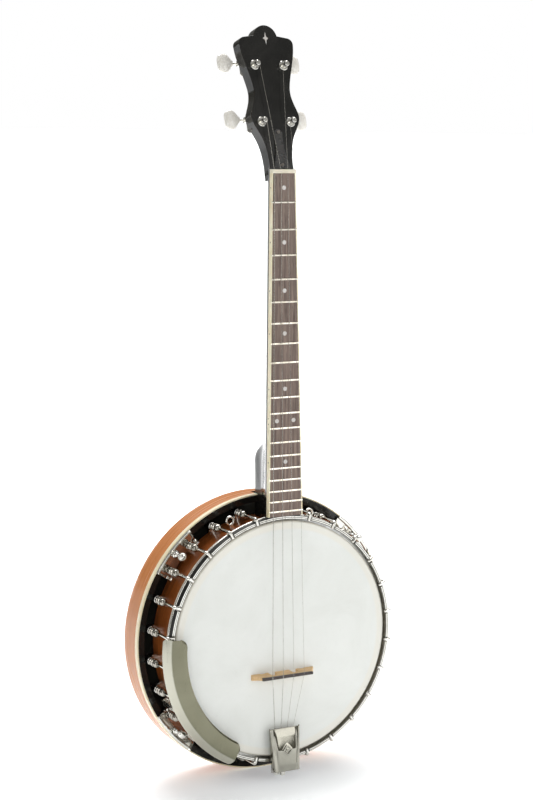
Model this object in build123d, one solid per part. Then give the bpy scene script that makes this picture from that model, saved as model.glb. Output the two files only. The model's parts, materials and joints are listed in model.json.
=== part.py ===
"""Four-string banjo with a resonator.

The pot is worked out on a bench frame: the pot's axis is Z and points out of the drum head, the
neck runs along +Y and Z = 0 is the flat back of the resonator. At the end every piece is stood
up, so that the neck points to +Z and the head faces -Y. All sizes are in millimetres.
"""
import math
import os

from build123d import *

# Scale and neck
scale_length = 580.0
fret_count = 19
bridge_y = -41.3
nut_y = bridge_y + scale_length
neck_back_angle = 1.37
nut_half_width = 15.5
board_end_half_width = 22.4
board_thickness = 5.5
binding_thickness = 1.5
string_span_nut = 25.6
string_span_bridge = 42.0
neck_depth_nut = 20.0
neck_depth_heel = 24.0
nut_thick = 4.5
nut_rise = 1.75
nut_slot = 0.4
fret_tang = 0.6
fret_tang_depth = 1.9
fret_half = 1.15
fret_height = 1.0
dot_r = 2.5
dot_depth = 1.2
dot_frets = (1, 3, 5, 7, 10, 12, 15)
octave_fret = 12
octave_dot_x = 10.9
truss_rod_half = 2.5
truss_rod_depth = 7.0

# Heel: the flat face of the neck grows into a deep, narrow keel that enters the resonator
heel_half_back = 10.0
heel_depth = 65.0
heel_back_z = 30.0
heel_clearance = 0.3
heel_start_y = 262.0
heel_end_y = 135.0
heel_mix = ((262.0, 0.0), (250.0, 0.03), (240.0, 0.14), (230.0, 0.40), (221.0, 0.74), (212.0, 0.96),
            (202.0, 1.0))

# Pot
rim_outer_r = 139.0
rim_wall = 15.0
rim_bottom_z = 30.0
rim_top_z = 80.0
tone_ring_height = 8.5
tone_ring_wall = 10.0
crown_round = 2.0
film = 0.5
flesh_ring_width = 3.9
flesh_ring_height = 5.5
hoop_inner_r = 141.6
hoop_wall = 4.0
hoop_height = 10.0
notch_depth = 3.4
notch_gap = 0.45
notch_round = 1.6
hook_positions = 26
hook_wire_r = 1.9
hook_r = 149.3
hook_bend_r = 2.6
running_clearance = 0.05
shoe_height = 13.0
nut_height = 8.0
nut_flats = 7.0
screw_r = 2.0
shoe_screw_reach = 5.5
washer_r = 5.2
washer_thickness = 0.8
strap_lug_z = 58.0
strap_lug_step = 1.5
strap_eye_r = 4.6
strap_eye_wire_r = 1.4
coordinator_z = 56.0
rod_r = 4.8
stub_r = 3.0
stub_reach = 24.0

# Resonator
resonator_r = 166.0
resonator_height = 46.0
resonator_wall = 5.5
resonator_back = 4.0
resonator_corner_r = 14.0
res_binding_width = 1.6
res_binding_height = 6.5
binding_chamfer = 0.5
back_line_r = 149.0
back_line_width = 2.0
back_line_depth = 1.5
ledge_inner_r = 156.0
ledge_thickness = 4.0
ledge_fall = 2.2
lug_half = 7.0
lug_height = 12.0

# Flange plates and thumb screws
plate_step = 3.5
plate_half_angle = 10.8
plate_thickness = 1.2
plate_lip_height = 3.0
plate_inner_r = 145.2
thumb_r = 157.0
thumb_screw_r = 2.4
thumb_knob_r = 4.7
thumb_knob_z = 61.0
thumb_knob_height = 7.0

# Headstock and tuners
head_tilt = 15.3
head_thickness = 15.0
head_face_drop = 3.0
post_x = 18.7
post_rows = (59.9, 126.2)
post_r = 3.0
bushing_r = 4.4
worm_offset = 8.2
worm_depth = 23.5
worm_r = 2.4
shaft_r = 1.6
gear_r = 5.45
gear_teeth = 14
button_x = 35.5
button_length = 17.5
button_width = 23.0
button_thickness = 9.0
post_top = 10.0
post_waist = (3.4, 7.4)
post_string_z = 5.3
bushing_flange_r = 5.6
bushing_flange_height = 1.5
tuner_sheet = 1.2
ear_offset = 8.5
ear_thickness = 2.2
ear_r = 3.0
head_round = 0.5
cover_start = 5.5
cover_end = 51.0
cover_thickness = 1.6
inlay_s = 158.0
inlay_depth = 0.8
wood_screw_r = 1.2
cover_screw_inset = 3.5
plate_screw_offsets = ((-8.0, -6.0), (8.0, -6.0))

# Armrest
armrest_start = 83.0
armrest_end = 153.0
armrest_inner_r = 129.0
armrest_fold_r = 148.5
armrest_outer_r = 155.5
armrest_z = 98.0
armrest_thickness = 1.2
armrest_corner_r = 9.0
armrest_leg_angles = (116.2, 145.4)
leg_half = 4.5
strap_gap = 0.5
strap_thickness = 1.3
clamp_z = 53.0
clamp_thickness = 4.0

# Tailpiece
tail_nose_y = -104.5
tail_pin_y = -154.0
tail_pin_z = 98.0
tail_pin_r = 1.5
tail_nose_half = 20.0
tail_back_half = 16.5
tail_nose_z = 97.0
tail_back_z = 104.5
tail_sheet = 1.2
tail_base_z = 92.8
tail_wire_hole_z = 94.5
tail_hook_y = -134.0
tail_wall_top = 95.7
tail_string_span = 24.0
tail_ear_thickness = 1.6
hanger_gap = 4.2
hanger_sheet = 1.6
hanger_drop = 10.4
barrel_y = -160.4
barrel_r = 4.0
bolt_r = 2.0
bolt_length = 14.0
bolt_head_r = 3.6
bolt_head_height = 2.0

# Bridge
bridge_half_foot = 41.0
bridge_half_top = 33.0
bridge_foot_depth = 6.5
bridge_top_depth = 3.2
bridge_bar_height = 3.6
bridge_height = 15.8

# Strings, thickest first
string_radii = (0.38, 0.30, 0.24, 0.18)

# Side and row of the post that each string goes to
string_posts = ((-1, 0), (-1, 1), (1, 1), (1, 0))

step_angle = 360.0 / hook_positions
tone_ring_top_z = rim_top_z + tone_ring_height
head_z = tone_ring_top_z + film
rim_inner_r = rim_outer_r - rim_wall
flesh_inner_r = rim_outer_r + film
flesh_outer_r = flesh_inner_r + flesh_ring_width
flesh_bottom_z = rim_top_z - 4.0
flesh_top_z = flesh_bottom_z + flesh_ring_height
collar_r = flesh_outer_r + film
hoop_outer_r = hoop_inner_r + hoop_wall
hoop_bottom_z = flesh_top_z
hoop_top_z = hoop_bottom_z + hoop_height
notch_z = hoop_top_z - notch_depth
hook_top_z = notch_z + hook_wire_r
shoe_top_z = resonator_height
shoe_bottom_z = shoe_top_z - shoe_height
shoe_screw_z = shoe_bottom_z + shoe_height / 2
wall_inner_r = resonator_r - resonator_wall
binding_inner_r = resonator_r - res_binding_width
ledge_z = resonator_height - ledge_thickness
plate_outer_r = resonator_r - 0.5
board_end_y = hoop_outer_r + 0.9
board_top_z_at_end = hoop_top_z + 3.9
nut_z = board_top_z_at_end - (nut_y - board_end_y) * math.tan(math.radians(neck_back_angle))
board_length = (nut_y - board_end_y) / math.cos(math.radians(neck_back_angle))
bridge_top_z = head_z + bridge_height
hook_steps = [i for i in range(1, hook_positions) if i != hook_positions // 2]
strap_inner_r = hook_r + hook_wire_r + strap_gap
hanger_y = -(flesh_outer_r + film + hanger_gap)
heel_notch = heel_half_back + heel_clearance
cover_screw_s = (cover_start + cover_screw_inset, cover_end - cover_screw_inset)
truss_rod_low = -board_thickness - truss_rod_depth
plate_steps = (plate_step, hook_positions / 2 - plate_step)
plate_angles = [s * step_angle for s in (plate_steps[0], plate_steps[1])]
plate_angles += [-a for a in plate_angles]

neck_place = Location((0, nut_y, nut_z), (-neck_back_angle, 0, 0))
head_place = Location((0, nut_y, nut_z - head_face_drop), (-head_tilt, 0, 0))
parts = {}


def turn(shape, angle):
    """The shape turned about the pot's axis, from the neck towards the player's left side."""
    return Rot(0, 0, angle) * shape


def ring(inner, outer, low, high):
    body = Pos(0, 0, low) * Cylinder(outer, high - low, align=(Align.CENTER, Align.CENTER, Align.MIN))
    hole = Pos(0, 0, low - 1) * Cylinder(inner, high - low + 2, align=(Align.CENTER, Align.CENTER, Align.MIN))
    return body - hole


def outer_top_edge(body):
    """The longest circle among a turned body's highest edges."""
    return body.edges().filter_by(GeomType.CIRCLE).group_by(Axis.Z)[-1].sort_by(SortBy.LENGTH)[-1]


def block(x0, x1, y0, y1, z0, z1):
    centre = ((x0 + x1) / 2, (y0 + y1) / 2, (z0 + z1) / 2)
    return Pos(*centre) * Box(x1 - x0, y1 - y0, z1 - z0)


def rod(start, end, radius):
    """A round bar from one point to another."""
    a = Vector(*start)
    b = Vector(*end)
    plane = Plane(origin=a, z_dir=b - a)
    return extrude(plane * Circle(radius), (b - a).length)


def upright(radius, low, high, x=0.0, y=0.0):
    return Pos(x, y, low) * Cylinder(radius, high - low, align=(Align.CENTER, Align.CENTER, Align.MIN))


def hexagon(flats, low, high, x=0.0, y=0.0):
    return extrude(Pos(x, y, low) * RegularPolygon(flats / math.sqrt(3), 6), high - low)


def sector(inner, outer, half_angle, low, high):
    """A ring's piece, centred on +Y."""
    wedge_r = outer * 2
    half = math.radians(half_angle)
    side = wedge_r * math.tan(half)
    wedge = prism([(0, 0), (side, wedge_r), (-side, wedge_r)], low - 1, high + 1)
    return ring(inner, outer, low, high) & wedge


def prism(points, low, high):
    """A plan outline raised from one height to another."""
    return extrude(Pos(0, 0, low) * Polygon(*points, align=None), high - low, dir=(0, 0, 1))


def group(items):
    return Compound([solid for item in items for solid in item.solids()])


# Pot

def shoe_screw():
    """A hexagon-headed screw that goes out through the rim into a shoe."""
    shank = rod((0, rim_inner_r, shoe_screw_z), (0, rim_outer_r + shoe_screw_reach, shoe_screw_z), screw_r)
    head = extrude(Plane((0, rim_inner_r, shoe_screw_z), z_dir=(0, -1, 0)) * RegularPolygon(4.2, 6), 3.0)
    washer_low = rim_inner_r - washer_thickness
    washer = rod((0, washer_low, shoe_screw_z), (0, rim_inner_r, shoe_screw_z), washer_r)
    return shank + head + washer


def make_rim():
    body = ring(rim_inner_r, rim_outer_r, rim_bottom_z, rim_top_z)
    body = chamfer(body.edges().filter_by(GeomType.CIRCLE).group_by(Axis.Z)[0], 1.0)
    for step in range(hook_positions):
        if step != 0:
            hole = rod((0, rim_inner_r - 2, shoe_screw_z), (0, rim_outer_r + 2, shoe_screw_z), screw_r)
            body -= turn(hole, step * step_angle)
    seat = rod((0, rim_inner_r - 4, shoe_screw_z), (0, rim_inner_r + 0.15, shoe_screw_z), washer_r)
    for step in range(1, hook_positions):
        body -= turn(seat, step * step_angle)
    for side in (-1, 1):
        start = (0, side * (rim_inner_r - 4), coordinator_z)
        body -= rod(start, (0, side * (rim_outer_r + 2), coordinator_z), stub_r)
    return body


def make_tone_ring():
    body = ring(rim_outer_r - tone_ring_wall, rim_outer_r, rim_top_z, tone_ring_top_z)
    return fillet(outer_top_edge(body), crown_round)


def make_drum_head():
    """A skin over the tone ring that wraps down, under and up around the flesh hoop."""
    top = upright(rim_outer_r + film, flesh_bottom_z, head_z)
    top = fillet(top.edges().filter_by(GeomType.CIRCLE).group_by(Axis.Z)[-1], crown_round + film)
    inside = upright(rim_outer_r, flesh_bottom_z - 1, tone_ring_top_z)
    inside = fillet(inside.edges().filter_by(GeomType.CIRCLE).group_by(Axis.Z)[-1], crown_round)
    under = ring(rim_outer_r, collar_r, flesh_bottom_z - film, flesh_bottom_z)
    collar = ring(flesh_outer_r, collar_r, flesh_bottom_z, flesh_top_z)
    return (top - inside) + under + collar


def make_flesh_hoop():
    return ring(flesh_inner_r, flesh_outer_r, flesh_bottom_z, flesh_top_z)


def hoop_piece(centre_step, span_steps):
    """The raised part of the hoop's edge between two hooks, with rounded ends."""
    gap_half = math.degrees((hook_wire_r + notch_gap) / hoop_inner_r)
    half = span_steps * step_angle / 2 - gap_half
    piece = sector(hoop_inner_r, hoop_outer_r, half, notch_z, hoop_top_z)
    ends = [e for e in piece.edges().filter_by(GeomType.LINE) if abs(e.center().Z - hoop_top_z) < 0.01]
    piece = fillet(ends, notch_round)
    return turn(piece, centre_step * step_angle)


def make_tension_hoop():
    body = ring(hoop_inner_r, hoop_outer_r, hoop_bottom_z, notch_z)
    stops = sorted(hook_steps)
    stops.append(stops[0] + hook_positions)
    for first, second in zip(stops, stops[1:]):
        body += hoop_piece((first + second) / 2, second - first)
    return body


def hook_bolt():
    """A round wire hook: up outside the hoop and over its notch."""
    low = shoe_bottom_z - nut_height - 1.0
    points = [(0, hook_r, low), (0, hook_r, hook_top_z), (0, hoop_inner_r + 0.9, hook_top_z)]
    path = FilletPolyline(*points, radius=hook_bend_r)
    body = sweep(Plane(points[0], z_dir=(0, 0, 1)) * Circle(hook_wire_r), path)
    return body + Pos(*points[-1]) * Sphere(hook_wire_r)


def hook_nut():
    low = shoe_bottom_z - nut_height
    body = hexagon(nut_flats, low, shoe_bottom_z, y=hook_r)
    return body - upright(hook_wire_r, low - 1, shoe_bottom_z + 1, y=hook_r)


def bracket_shoe():
    """A lug on the rim's outside whose barrel guides the hook's shank."""
    foot = block(-4.6, 4.6, rim_outer_r - 3, hook_r - 2.5, shoe_bottom_z, shoe_top_z - 1.2)
    boss = rod((0, rim_outer_r - 1, shoe_screw_z), (0, rim_outer_r + 7.5, shoe_screw_z), 6.0)
    barrel = upright(hook_wire_r + 2.8, shoe_bottom_z, shoe_top_z, y=hook_r)
    body = fillet(barrel.edges().filter_by(GeomType.CIRCLE), 0.9) + foot + boss
    body -= upright(rim_outer_r, shoe_bottom_z - 5, shoe_top_z + 5)
    body -= upright(hook_wire_r + running_clearance, shoe_bottom_z - 1, shoe_top_z + 1, y=hook_r)
    start = (0, rim_outer_r - 4, shoe_screw_z)
    return body - rod(start, (0, rim_outer_r + shoe_screw_reach, shoe_screw_z), screw_r)


def strap_lug():
    """An eye on a short post, for a strap's hook."""
    post = rod((0, rim_outer_r - 2, strap_lug_z), (0, rim_outer_r + 6.2, strap_lug_z), 3.6)
    eye = Pos(0, rim_outer_r + 10.0, strap_lug_z) * Torus(strap_eye_r, strap_eye_wire_r)
    return post + eye - upright(rim_outer_r, strap_lug_z - 8, strap_lug_z + 8)


def make_coordinator_rod():
    """The bar across the pot whose ends go through the rim, into the heel and to a nut."""
    shoulder = rim_inner_r - 7.5
    body = rod((0, -shoulder, coordinator_z), (0, shoulder, coordinator_z), rod_r)
    start = (0, -rim_outer_r - 7, coordinator_z)
    return body + rod(start, (0, rim_outer_r + stub_reach, coordinator_z), stub_r)


def make_coordinator_nuts():
    inside = rim_inner_r - 0.6
    spans = ((inside - 6.4, inside), (-inside, -inside + 6.4), (-rim_outer_r - 6.0, -rim_outer_r - 0.1))
    nuts = []
    for low, high in spans:
        face = Plane((0, low, coordinator_z), z_dir=(0, 1, 0))
        nuts.append(extrude(face * (RegularPolygon(6.4, 6) - Circle(stub_r)), high - low))
    return group(nuts)


# Resonator

def dish(radius, low, high, corner):
    """A flat-backed round block with a rounded back edge."""
    body = upright(radius, low, high)
    return fillet(body.edges().filter_by(GeomType.CIRCLE).group_by(Axis.Z)[0], corner)


def heel_gap(high):
    return block(-heel_notch, heel_notch, wall_inner_r - 12, resonator_r + 5, heel_back_z - 1.2, high)


def make_resonator_shell():
    body = dish(resonator_r, 0, ledge_z, resonator_corner_r)
    body -= dish(wall_inner_r, resonator_back, ledge_z + 1, resonator_corner_r - 4)
    body -= ring(binding_inner_r, resonator_r + 1, resonator_height - res_binding_height, resonator_height)
    body -= ring(back_line_r, back_line_r + back_line_width, -1, back_line_depth)
    return body - heel_gap(resonator_height + 1)


def make_resonator_binding():
    front = ring(binding_inner_r, resonator_r, resonator_height - res_binding_height, resonator_height)
    front = chamfer(outer_top_edge(front), binding_chamfer)
    back = ring(back_line_r, back_line_r + back_line_width, 0, back_line_depth)
    return group([front - heel_gap(resonator_height + 1), back])


def make_resonator_ledge():
    """A ring inside the resonator's mouth that falls towards its inner edge."""
    high = resonator_height
    section = Polygon((ledge_inner_r, ledge_z), (binding_inner_r, ledge_z), (binding_inner_r, high),
                      (ledge_inner_r, high - ledge_fall), align=None)
    body = revolve(Plane.XZ * section, Axis.Z)
    for angle in plate_angles:
        body -= turn(upright(thumb_screw_r + 0.5, ledge_z - 1, resonator_height + 1, y=thumb_r), angle)
    return body - heel_gap(resonator_height + 1)


def wall_lug():
    """A threaded block on the inside of the resonator's wall, under the ledge."""
    body = block(-lug_half, lug_half, thumb_r - 6, wall_inner_r + 4, ledge_z - lug_height, ledge_z)
    body = body & upright(wall_inner_r, 0, resonator_height)
    return body - upright(thumb_screw_r + running_clearance, ledge_z - lug_height - 1, ledge_z + 1, y=thumb_r)


def flange_plate():
    """A pressed plate on the ledge with raised edges and a slot for each of two hooks."""
    low = resonator_height
    body = sector(plate_inner_r, plate_outer_r, plate_half_angle, low, low + plate_thickness)
    lip_low = low + plate_thickness
    tray = sector(plate_inner_r, plate_outer_r, plate_half_angle, lip_low, low + plate_lip_height)
    inner_half = plate_half_angle - 0.45
    lip_inner_r = plate_outer_r - plate_thickness
    tray -= sector(plate_inner_r - 5, lip_inner_r, inner_half, lip_low - 1, low + plate_lip_height + 1)
    body += tray
    for side in (-0.5, 0.5):
        slot = upright(hook_wire_r + 0.35, low - 1, low + 6, y=hook_r)
        slot += block(-hook_wire_r - 0.35, hook_wire_r + 0.35, plate_inner_r - 4, hook_r, low - 1, low + 6)
        body -= turn(slot, side * step_angle)
    return body - upright(thumb_screw_r + running_clearance, low - 1, low + 6, y=thumb_r)


def thumb_screw():
    """A tall thumb screw that ties the pot to the resonator's wall lug."""
    seat = resonator_height + plate_thickness + 0.3
    body = upright(thumb_screw_r, ledge_z - 10, seat + 2, y=thumb_r)
    body += upright(thumb_knob_r, seat, seat + 1.6, y=thumb_r)
    body += upright(thumb_screw_r + 0.9, seat + 1.6, seat + 5.0, y=thumb_r)
    body += upright(1.9, seat, thumb_knob_z + 1, y=thumb_r)
    knob = upright(thumb_knob_r, thumb_knob_z, thumb_knob_z + thumb_knob_height, y=thumb_r)
    return body + fillet(knob.edges().filter_by(GeomType.CIRCLE), 1.2)


# Armrest

def make_armrest():
    """A pressed plate over the hoop with a sloping skirt outside it."""
    low = armrest_z
    high = armrest_z + armrest_thickness
    section = Polygon((armrest_inner_r, low), (armrest_fold_r, low),
                      (armrest_outer_r - armrest_thickness, hoop_top_z), (armrest_outer_r, hoop_top_z),
                      (armrest_fold_r + 0.5, high), (armrest_inner_r, high), align=None)
    body = revolve(Plane.XZ * section, Axis.Z, armrest_end - armrest_start)
    upright_edges = body.edges().filter_by(Axis.Z)
    inner = [e for e in upright_edges if math.hypot(e.center().X, e.center().Y) < armrest_inner_r + 1]
    return turn(fillet(inner, armrest_corner_r), 90 + armrest_start)


def armrest_leg():
    """A strap from the plate down to a bar that grips the rim under the hoop."""
    outer = strap_inner_r + strap_thickness
    tab_inner = hoop_outer_r - 1.5
    tab = block(-leg_half, leg_half, tab_inner, armrest_fold_r - 0.4, armrest_z - 1.3, armrest_z)
    reach = block(-leg_half, leg_half, armrest_fold_r - 1.8, outer, hoop_top_z - 1.2, hoop_top_z + 0.1)
    riser_y = armrest_fold_r - 1.8
    riser = block(-leg_half, leg_half, riser_y, riser_y + 1.4, hoop_top_z - 1.2, armrest_z)
    strap = block(-leg_half, leg_half, strap_inner_r, outer, clamp_z, hoop_top_z + 0.1)
    foot = block(-leg_half, leg_half, rim_outer_r + 3.9, outer, clamp_z, clamp_z + 2.0)
    bar = sector(rim_outer_r, rim_outer_r + 4.2, 3.3, clamp_z, clamp_z + clamp_thickness)
    return tab + riser + reach + strap + foot + bar - armrest_screw()


def armrest_screw():
    """A knurled screw under the leg's foot."""
    y = (rim_outer_r + strap_inner_r) / 2
    body = upright(1.8, clamp_z - 5, clamp_z + 5, y=y)
    return body + upright(3.4, clamp_z - 5, clamp_z, y=y)


# Tailpiece

def string_x(index, span):
    return -span / 2 + span * index / 3


def tail_half_width(y, inset=0.0):
    share = (y - tail_pin_y) / (tail_nose_y - tail_pin_y)
    return tail_back_half + (tail_nose_half - tail_back_half) * share - inset


def tail_wedge(inset, y_low, y_high, drop):
    """A wedge between the tailpiece's sloping top and its base."""
    def top(y):
        share = (y - tail_pin_y) / (tail_nose_y - tail_pin_y)
        return tail_back_z + (tail_nose_z - tail_back_z) * share - drop
    low = tail_base_z + 1.5
    side = Polygon((y_low, low), (y_high, low), (y_high, top(y_high)), (y_low, top(y_low)), align=None)
    body = extrude(Plane.YZ * side, 30, both=True)
    a = tail_half_width(y_low, inset)
    b = tail_half_width(y_high, inset)
    return body & prism([(-a, y_low), (a, y_low), (b, y_high), (-b, y_high)], 0, tail_back_z + 20)


def make_tailpiece_cover():
    """A lid with a sloping top and two side walls that turn on the pin."""
    reach = 3.5
    body = tail_wedge(0, tail_pin_y - 1.0, tail_nose_y, 0)
    body -= tail_wedge(tail_sheet, tail_pin_y - 8, tail_nose_y + 3, tail_sheet)
    a = tail_half_width(tail_pin_y)
    for side in (-1, 1):
        x0 = side * (a - tail_sheet)
        x1 = side * (a - 0.05)
        body += rod((x0, tail_pin_y, tail_pin_z), (x1, tail_pin_y, tail_pin_z), reach)
    crown = [e for e in body.edges() if abs(abs(e.tangent_at(0.5).Y) - 1) < 0.05
             and abs(e.center().X) > tail_back_half and e.center().Z > tail_pin_z]
    body = fillet(crown, 1.0)
    hole_r = tail_pin_r + running_clearance
    return body - rod((-30, tail_pin_y, tail_pin_z), (30, tail_pin_y, tail_pin_z), hole_r)


def make_tailpiece_base():
    """The plate with a slotted front wall, four string hooks and two hinge ears."""
    low = tail_base_z
    high = tail_base_z + 1.2
    a = tail_half_width(tail_pin_y, 2.2)
    b = tail_half_width(tail_nose_y, 2.2)
    nose = tail_nose_y - 1.2
    body = prism([(-a, tail_pin_y - 3), (a, tail_pin_y - 3), (b, nose), (-b, nose)], low, high)
    body += block(-2.6, 2.6, barrel_y - 2.6, tail_pin_y, low, high)
    body += block(-b + 1, b - 1, nose - 2.4, nose, low, tail_wall_top)
    for side in (-1, 1):
        x = side * (a - 0.8)
        inner_x = x - side * tail_ear_thickness
        ear = block(min(x, inner_x), max(x, inner_x), tail_pin_y - 3, tail_pin_y + 3, low, tail_pin_z)
        ear += rod((x, tail_pin_y, tail_pin_z), (inner_x, tail_pin_y, tail_pin_z), 3.0)
        body += ear
    for index in range(4):
        body += upright(1.0, low, low + 3.4, x=string_x(index, tail_string_span), y=tail_hook_y - 1.0)
        body += upright(1.7, low + 3.4, low + 4.2, x=string_x(index, tail_string_span), y=tail_hook_y - 1.0)
    body -= rod((-30, tail_pin_y, tail_pin_z), (30, tail_pin_y, tail_pin_z), tail_pin_r)
    return body - string_tubes(0.06)


def make_tailpiece_pin():
    end = tail_half_width(tail_pin_y) + 1.6
    body = rod((-end, tail_pin_y, tail_pin_z), (end, tail_pin_y, tail_pin_z), tail_pin_r)
    for side in (-1, 1):
        body += rod((side * (end - 1.2), tail_pin_y, tail_pin_z), (side * end, tail_pin_y, tail_pin_z), 2.6)
    return body


def make_tailpiece_hanger():
    """A strap outside the hoop from the rim up to a tab that carries the barrel nut."""
    tab_z = tail_base_z - hanger_drop
    strap = block(-6, 6, hanger_y - hanger_sheet, hanger_y, shoe_bottom_z, tab_z + hanger_sheet)
    tab = block(-6, 6, barrel_y - 5, hanger_y, tab_z, tab_z + hanger_sheet)
    spacer = rod((0, -rim_outer_r + 1, shoe_screw_z), (0, hanger_y, shoe_screw_z), 5.0)
    body = fillet((strap + tab).edges().filter_by(Axis.X), 0.5) + spacer - upright(rim_outer_r, 20, 70)
    body -= rod((0, -rim_outer_r + 4, shoe_screw_z), (0, -rim_outer_r - 5.5, shoe_screw_z), screw_r)
    return body - upright(bolt_r, tab_z - 2, tab_z + 4, y=barrel_y)


def make_tailpiece_bolt():
    top = tail_base_z
    low = top - bolt_length
    head = upright(bolt_head_r, low, low + bolt_head_height, y=barrel_y)
    return head + upright(bolt_r, low, top, y=barrel_y)


def make_tailpiece_nut():
    low = tail_base_z - hanger_drop + hanger_sheet
    body = upright(barrel_r, low, tail_base_z - 0.6, y=barrel_y)
    body -= upright(bolt_r, low - 1, tail_base_z, y=barrel_y)
    return chamfer(outer_top_edge(body), 0.6)


# Bridge and strings

def make_bridge_feet():
    """A three-footed bridge that thins towards its top."""
    top = bridge_top_z - bridge_bar_height
    low = head_z
    half = bridge_half_top
    right = [(half, top), (half + 2.0, top - 4.0), (bridge_half_foot, low + 2.0), (bridge_half_foot, low)]
    left = [(-x, z) for x, z in reversed(right)]
    outline = Polygon(*left, *right, align=None)
    body = extrude(Plane.XZ * outline, 12, both=True)
    for side in (-1, 1):
        x = side * 14.0
        body -= block(x - 4.5, x + 4.5, -12, 12, low - 1, low + 4.5)
        body -= rod((x, -12, low + 4.5), (x, 12, low + 4.5), 4.5)
        body -= block(side * 26.0 - 3.0, side * 26.0 + 3.0, -12, 12, low - 1, low + 1.2)
    half_low = bridge_foot_depth / 2
    half_top = bridge_top_depth / 2
    side_view = Polygon((-half_low, low), (half_low, low), (half_top, top), (-half_top, top), align=None)
    return Pos(0, bridge_y, 0) * (body & extrude(Plane.YZ * side_view, 60, both=True))


def make_bridge_top():
    low = bridge_top_z - bridge_bar_height
    half = bridge_top_depth / 2
    body = block(-bridge_half_top, bridge_half_top, bridge_y - half, bridge_y + half, low, bridge_top_z)
    body = fillet(body.edges().filter_by(Axis.X).group_by(Axis.Z)[-1], 0.7)
    return body - string_tubes(0.01)


def neck_point(x, y, z):
    """A point given on the fingerboard: y from the nut towards the headstock, z off the board."""
    return (neck_place * Pos(x, y, z)).position


def head_point(x, s, z):
    """A point given on the headstock's face: s from the nut towards the tip, z off the face."""
    return (head_place * Pos(x, s, z)).position


def string_route(index):
    radius = string_radii[index]
    side, row = string_posts[index]
    post_side_x = side * (post_x - post_r - radius - 0.3)
    return [(string_x(index, tail_string_span), tail_hook_y, tail_wire_hole_z),
            (string_x(index, tail_string_span), tail_nose_y - 2.4, tail_wire_hole_z),
            (string_x(index, string_span_bridge), bridge_y, bridge_top_z - 0.15),
            tuple(neck_point(string_x(index, string_span_nut), nut_thick / 2, nut_rise - nut_slot)),
            tuple(head_point(post_side_x, post_rows[row], post_string_z))]


def string_body(index, extra=0.0):
    radius = string_radii[index] + extra
    points = string_route(index)
    body = rod(points[0], points[1], radius)
    for first, second in zip(points[1:], points[2:]):
        body += rod(first, second, radius)
        body += Pos(*first) * Sphere(radius)
    return body


def string_tubes(extra):
    return group([string_body(i, extra) for i in range(4)])


# Neck

def board_half_width(y):
    """Half the fingerboard's width at y, counted from the nut, where y is zero or less."""
    return nut_half_width + (board_end_half_width - nut_half_width) * (-y / board_length)


def fret_y(number):
    from_nut = scale_length * (1 - 2 ** (-number / 12))
    return -from_nut / math.cos(math.radians(neck_back_angle))


def taper(inset, low, high):
    a = board_half_width(0) - inset
    b = board_half_width(-board_length) - inset
    return prism([(-a, 0), (a, 0), (b, -board_length), (-b, -board_length)], low, high)


def dots(extra=0.0):
    discs = []
    for fret in dot_frets:
        y = (fret_y(fret) + fret_y(fret - 1)) / 2
        for x in ((-octave_dot_x, octave_dot_x) if fret == octave_fret else (0,)):
            discs.append(upright(dot_r, -dot_depth, extra, x=x, y=y))
    return discs


def make_fingerboard():
    body = taper(binding_thickness, -board_thickness, 0)
    for fret in range(1, fret_count + 1):
        y = fret_y(fret)
        body -= block(-40, 40, y - fret_tang / 2, y + fret_tang / 2, -fret_tang_depth, 1)
    for disc in dots(1.0):
        body -= disc
    return neck_place * body


def make_binding():
    body = taper(0, -board_thickness, 0) - taper(binding_thickness, -board_thickness - 1, 1)
    return neck_place * group(body.solids())


def make_frets():
    bars = []
    for fret in range(1, fret_count + 1):
        y = fret_y(fret)
        half = board_half_width(y) - 0.2
        shoulder = fret_half * 0.8
        side = fret_height * 0.7
        crown = Polygon((y - fret_half, 0), (y + fret_half, 0), (y + shoulder, side), (y, fret_height),
                        (y - shoulder, side), align=None)
        bar = extrude(Plane.YZ * crown, half, both=True)
        tang_half = half - binding_thickness + 0.1
        bar += block(-tang_half, tang_half, y - fret_tang / 2, y + fret_tang / 2, -fret_tang_depth, 0.1)
        bars.append(bar)
    return neck_place * group(bars)


def make_nut():
    body = block(-nut_half_width, nut_half_width, 0, nut_thick, -board_thickness, nut_rise)
    body = fillet(body.edges().filter_by(Axis.X).group_by(Axis.Z)[-1], 0.8)
    return neck_place * body - string_tubes(0.01)


def section_points(half, depth, mix):
    """Half of the neck's section, from the board's edge to the middle of its back.

    mix is 0 for the shaft's half-oval and 1 for the heel's deep keel.
    """
    keel = ((half, board_thickness), (half - 0.8, 11.0), (half - 4.0, 19.0), (half - 7.6, 28.0),
            (heel_half_back + 0.6, 38.0), (heel_half_back - 0.3, 48.0), (heel_half_back - 1.0, 57.0),
            (heel_half_back - 4.6, heel_depth - 2.0), (0.0, heel_depth))
    points = []
    for index, (keel_x, keel_depth) in enumerate(keel):
        angle = math.pi / 2 * index / (len(keel) - 1)
        oval_x = half * math.cos(angle)
        oval_depth = board_thickness + (depth - board_thickness) * math.sin(angle) ** 0.9
        points.append((oval_x + (keel_x - oval_x) * mix, -oval_depth - (keel_depth - oval_depth) * mix))
    return points


def neck_section(y, half, depth, mix=0.0):
    right = section_points(half, depth, mix)
    left = [(-x, z) for x, z in reversed(right[:-1])]
    with BuildSketch(Plane((0, y, 0), x_dir=(1, 0, 0), z_dir=(0, -1, 0))) as sketch:
        with BuildLine():
            Spline(*right, *left)
            Line(left[-1], right[0])
        make_face()
    return sketch.sketch


def board_y(bench_y):
    """A place along the pot's own axis counted from the nut instead."""
    return (bench_y - nut_y) / math.cos(math.radians(neck_back_angle))


def neck_depth(y):
    return neck_depth_nut + (neck_depth_heel - neck_depth_nut) * (-y / board_length)


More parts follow.
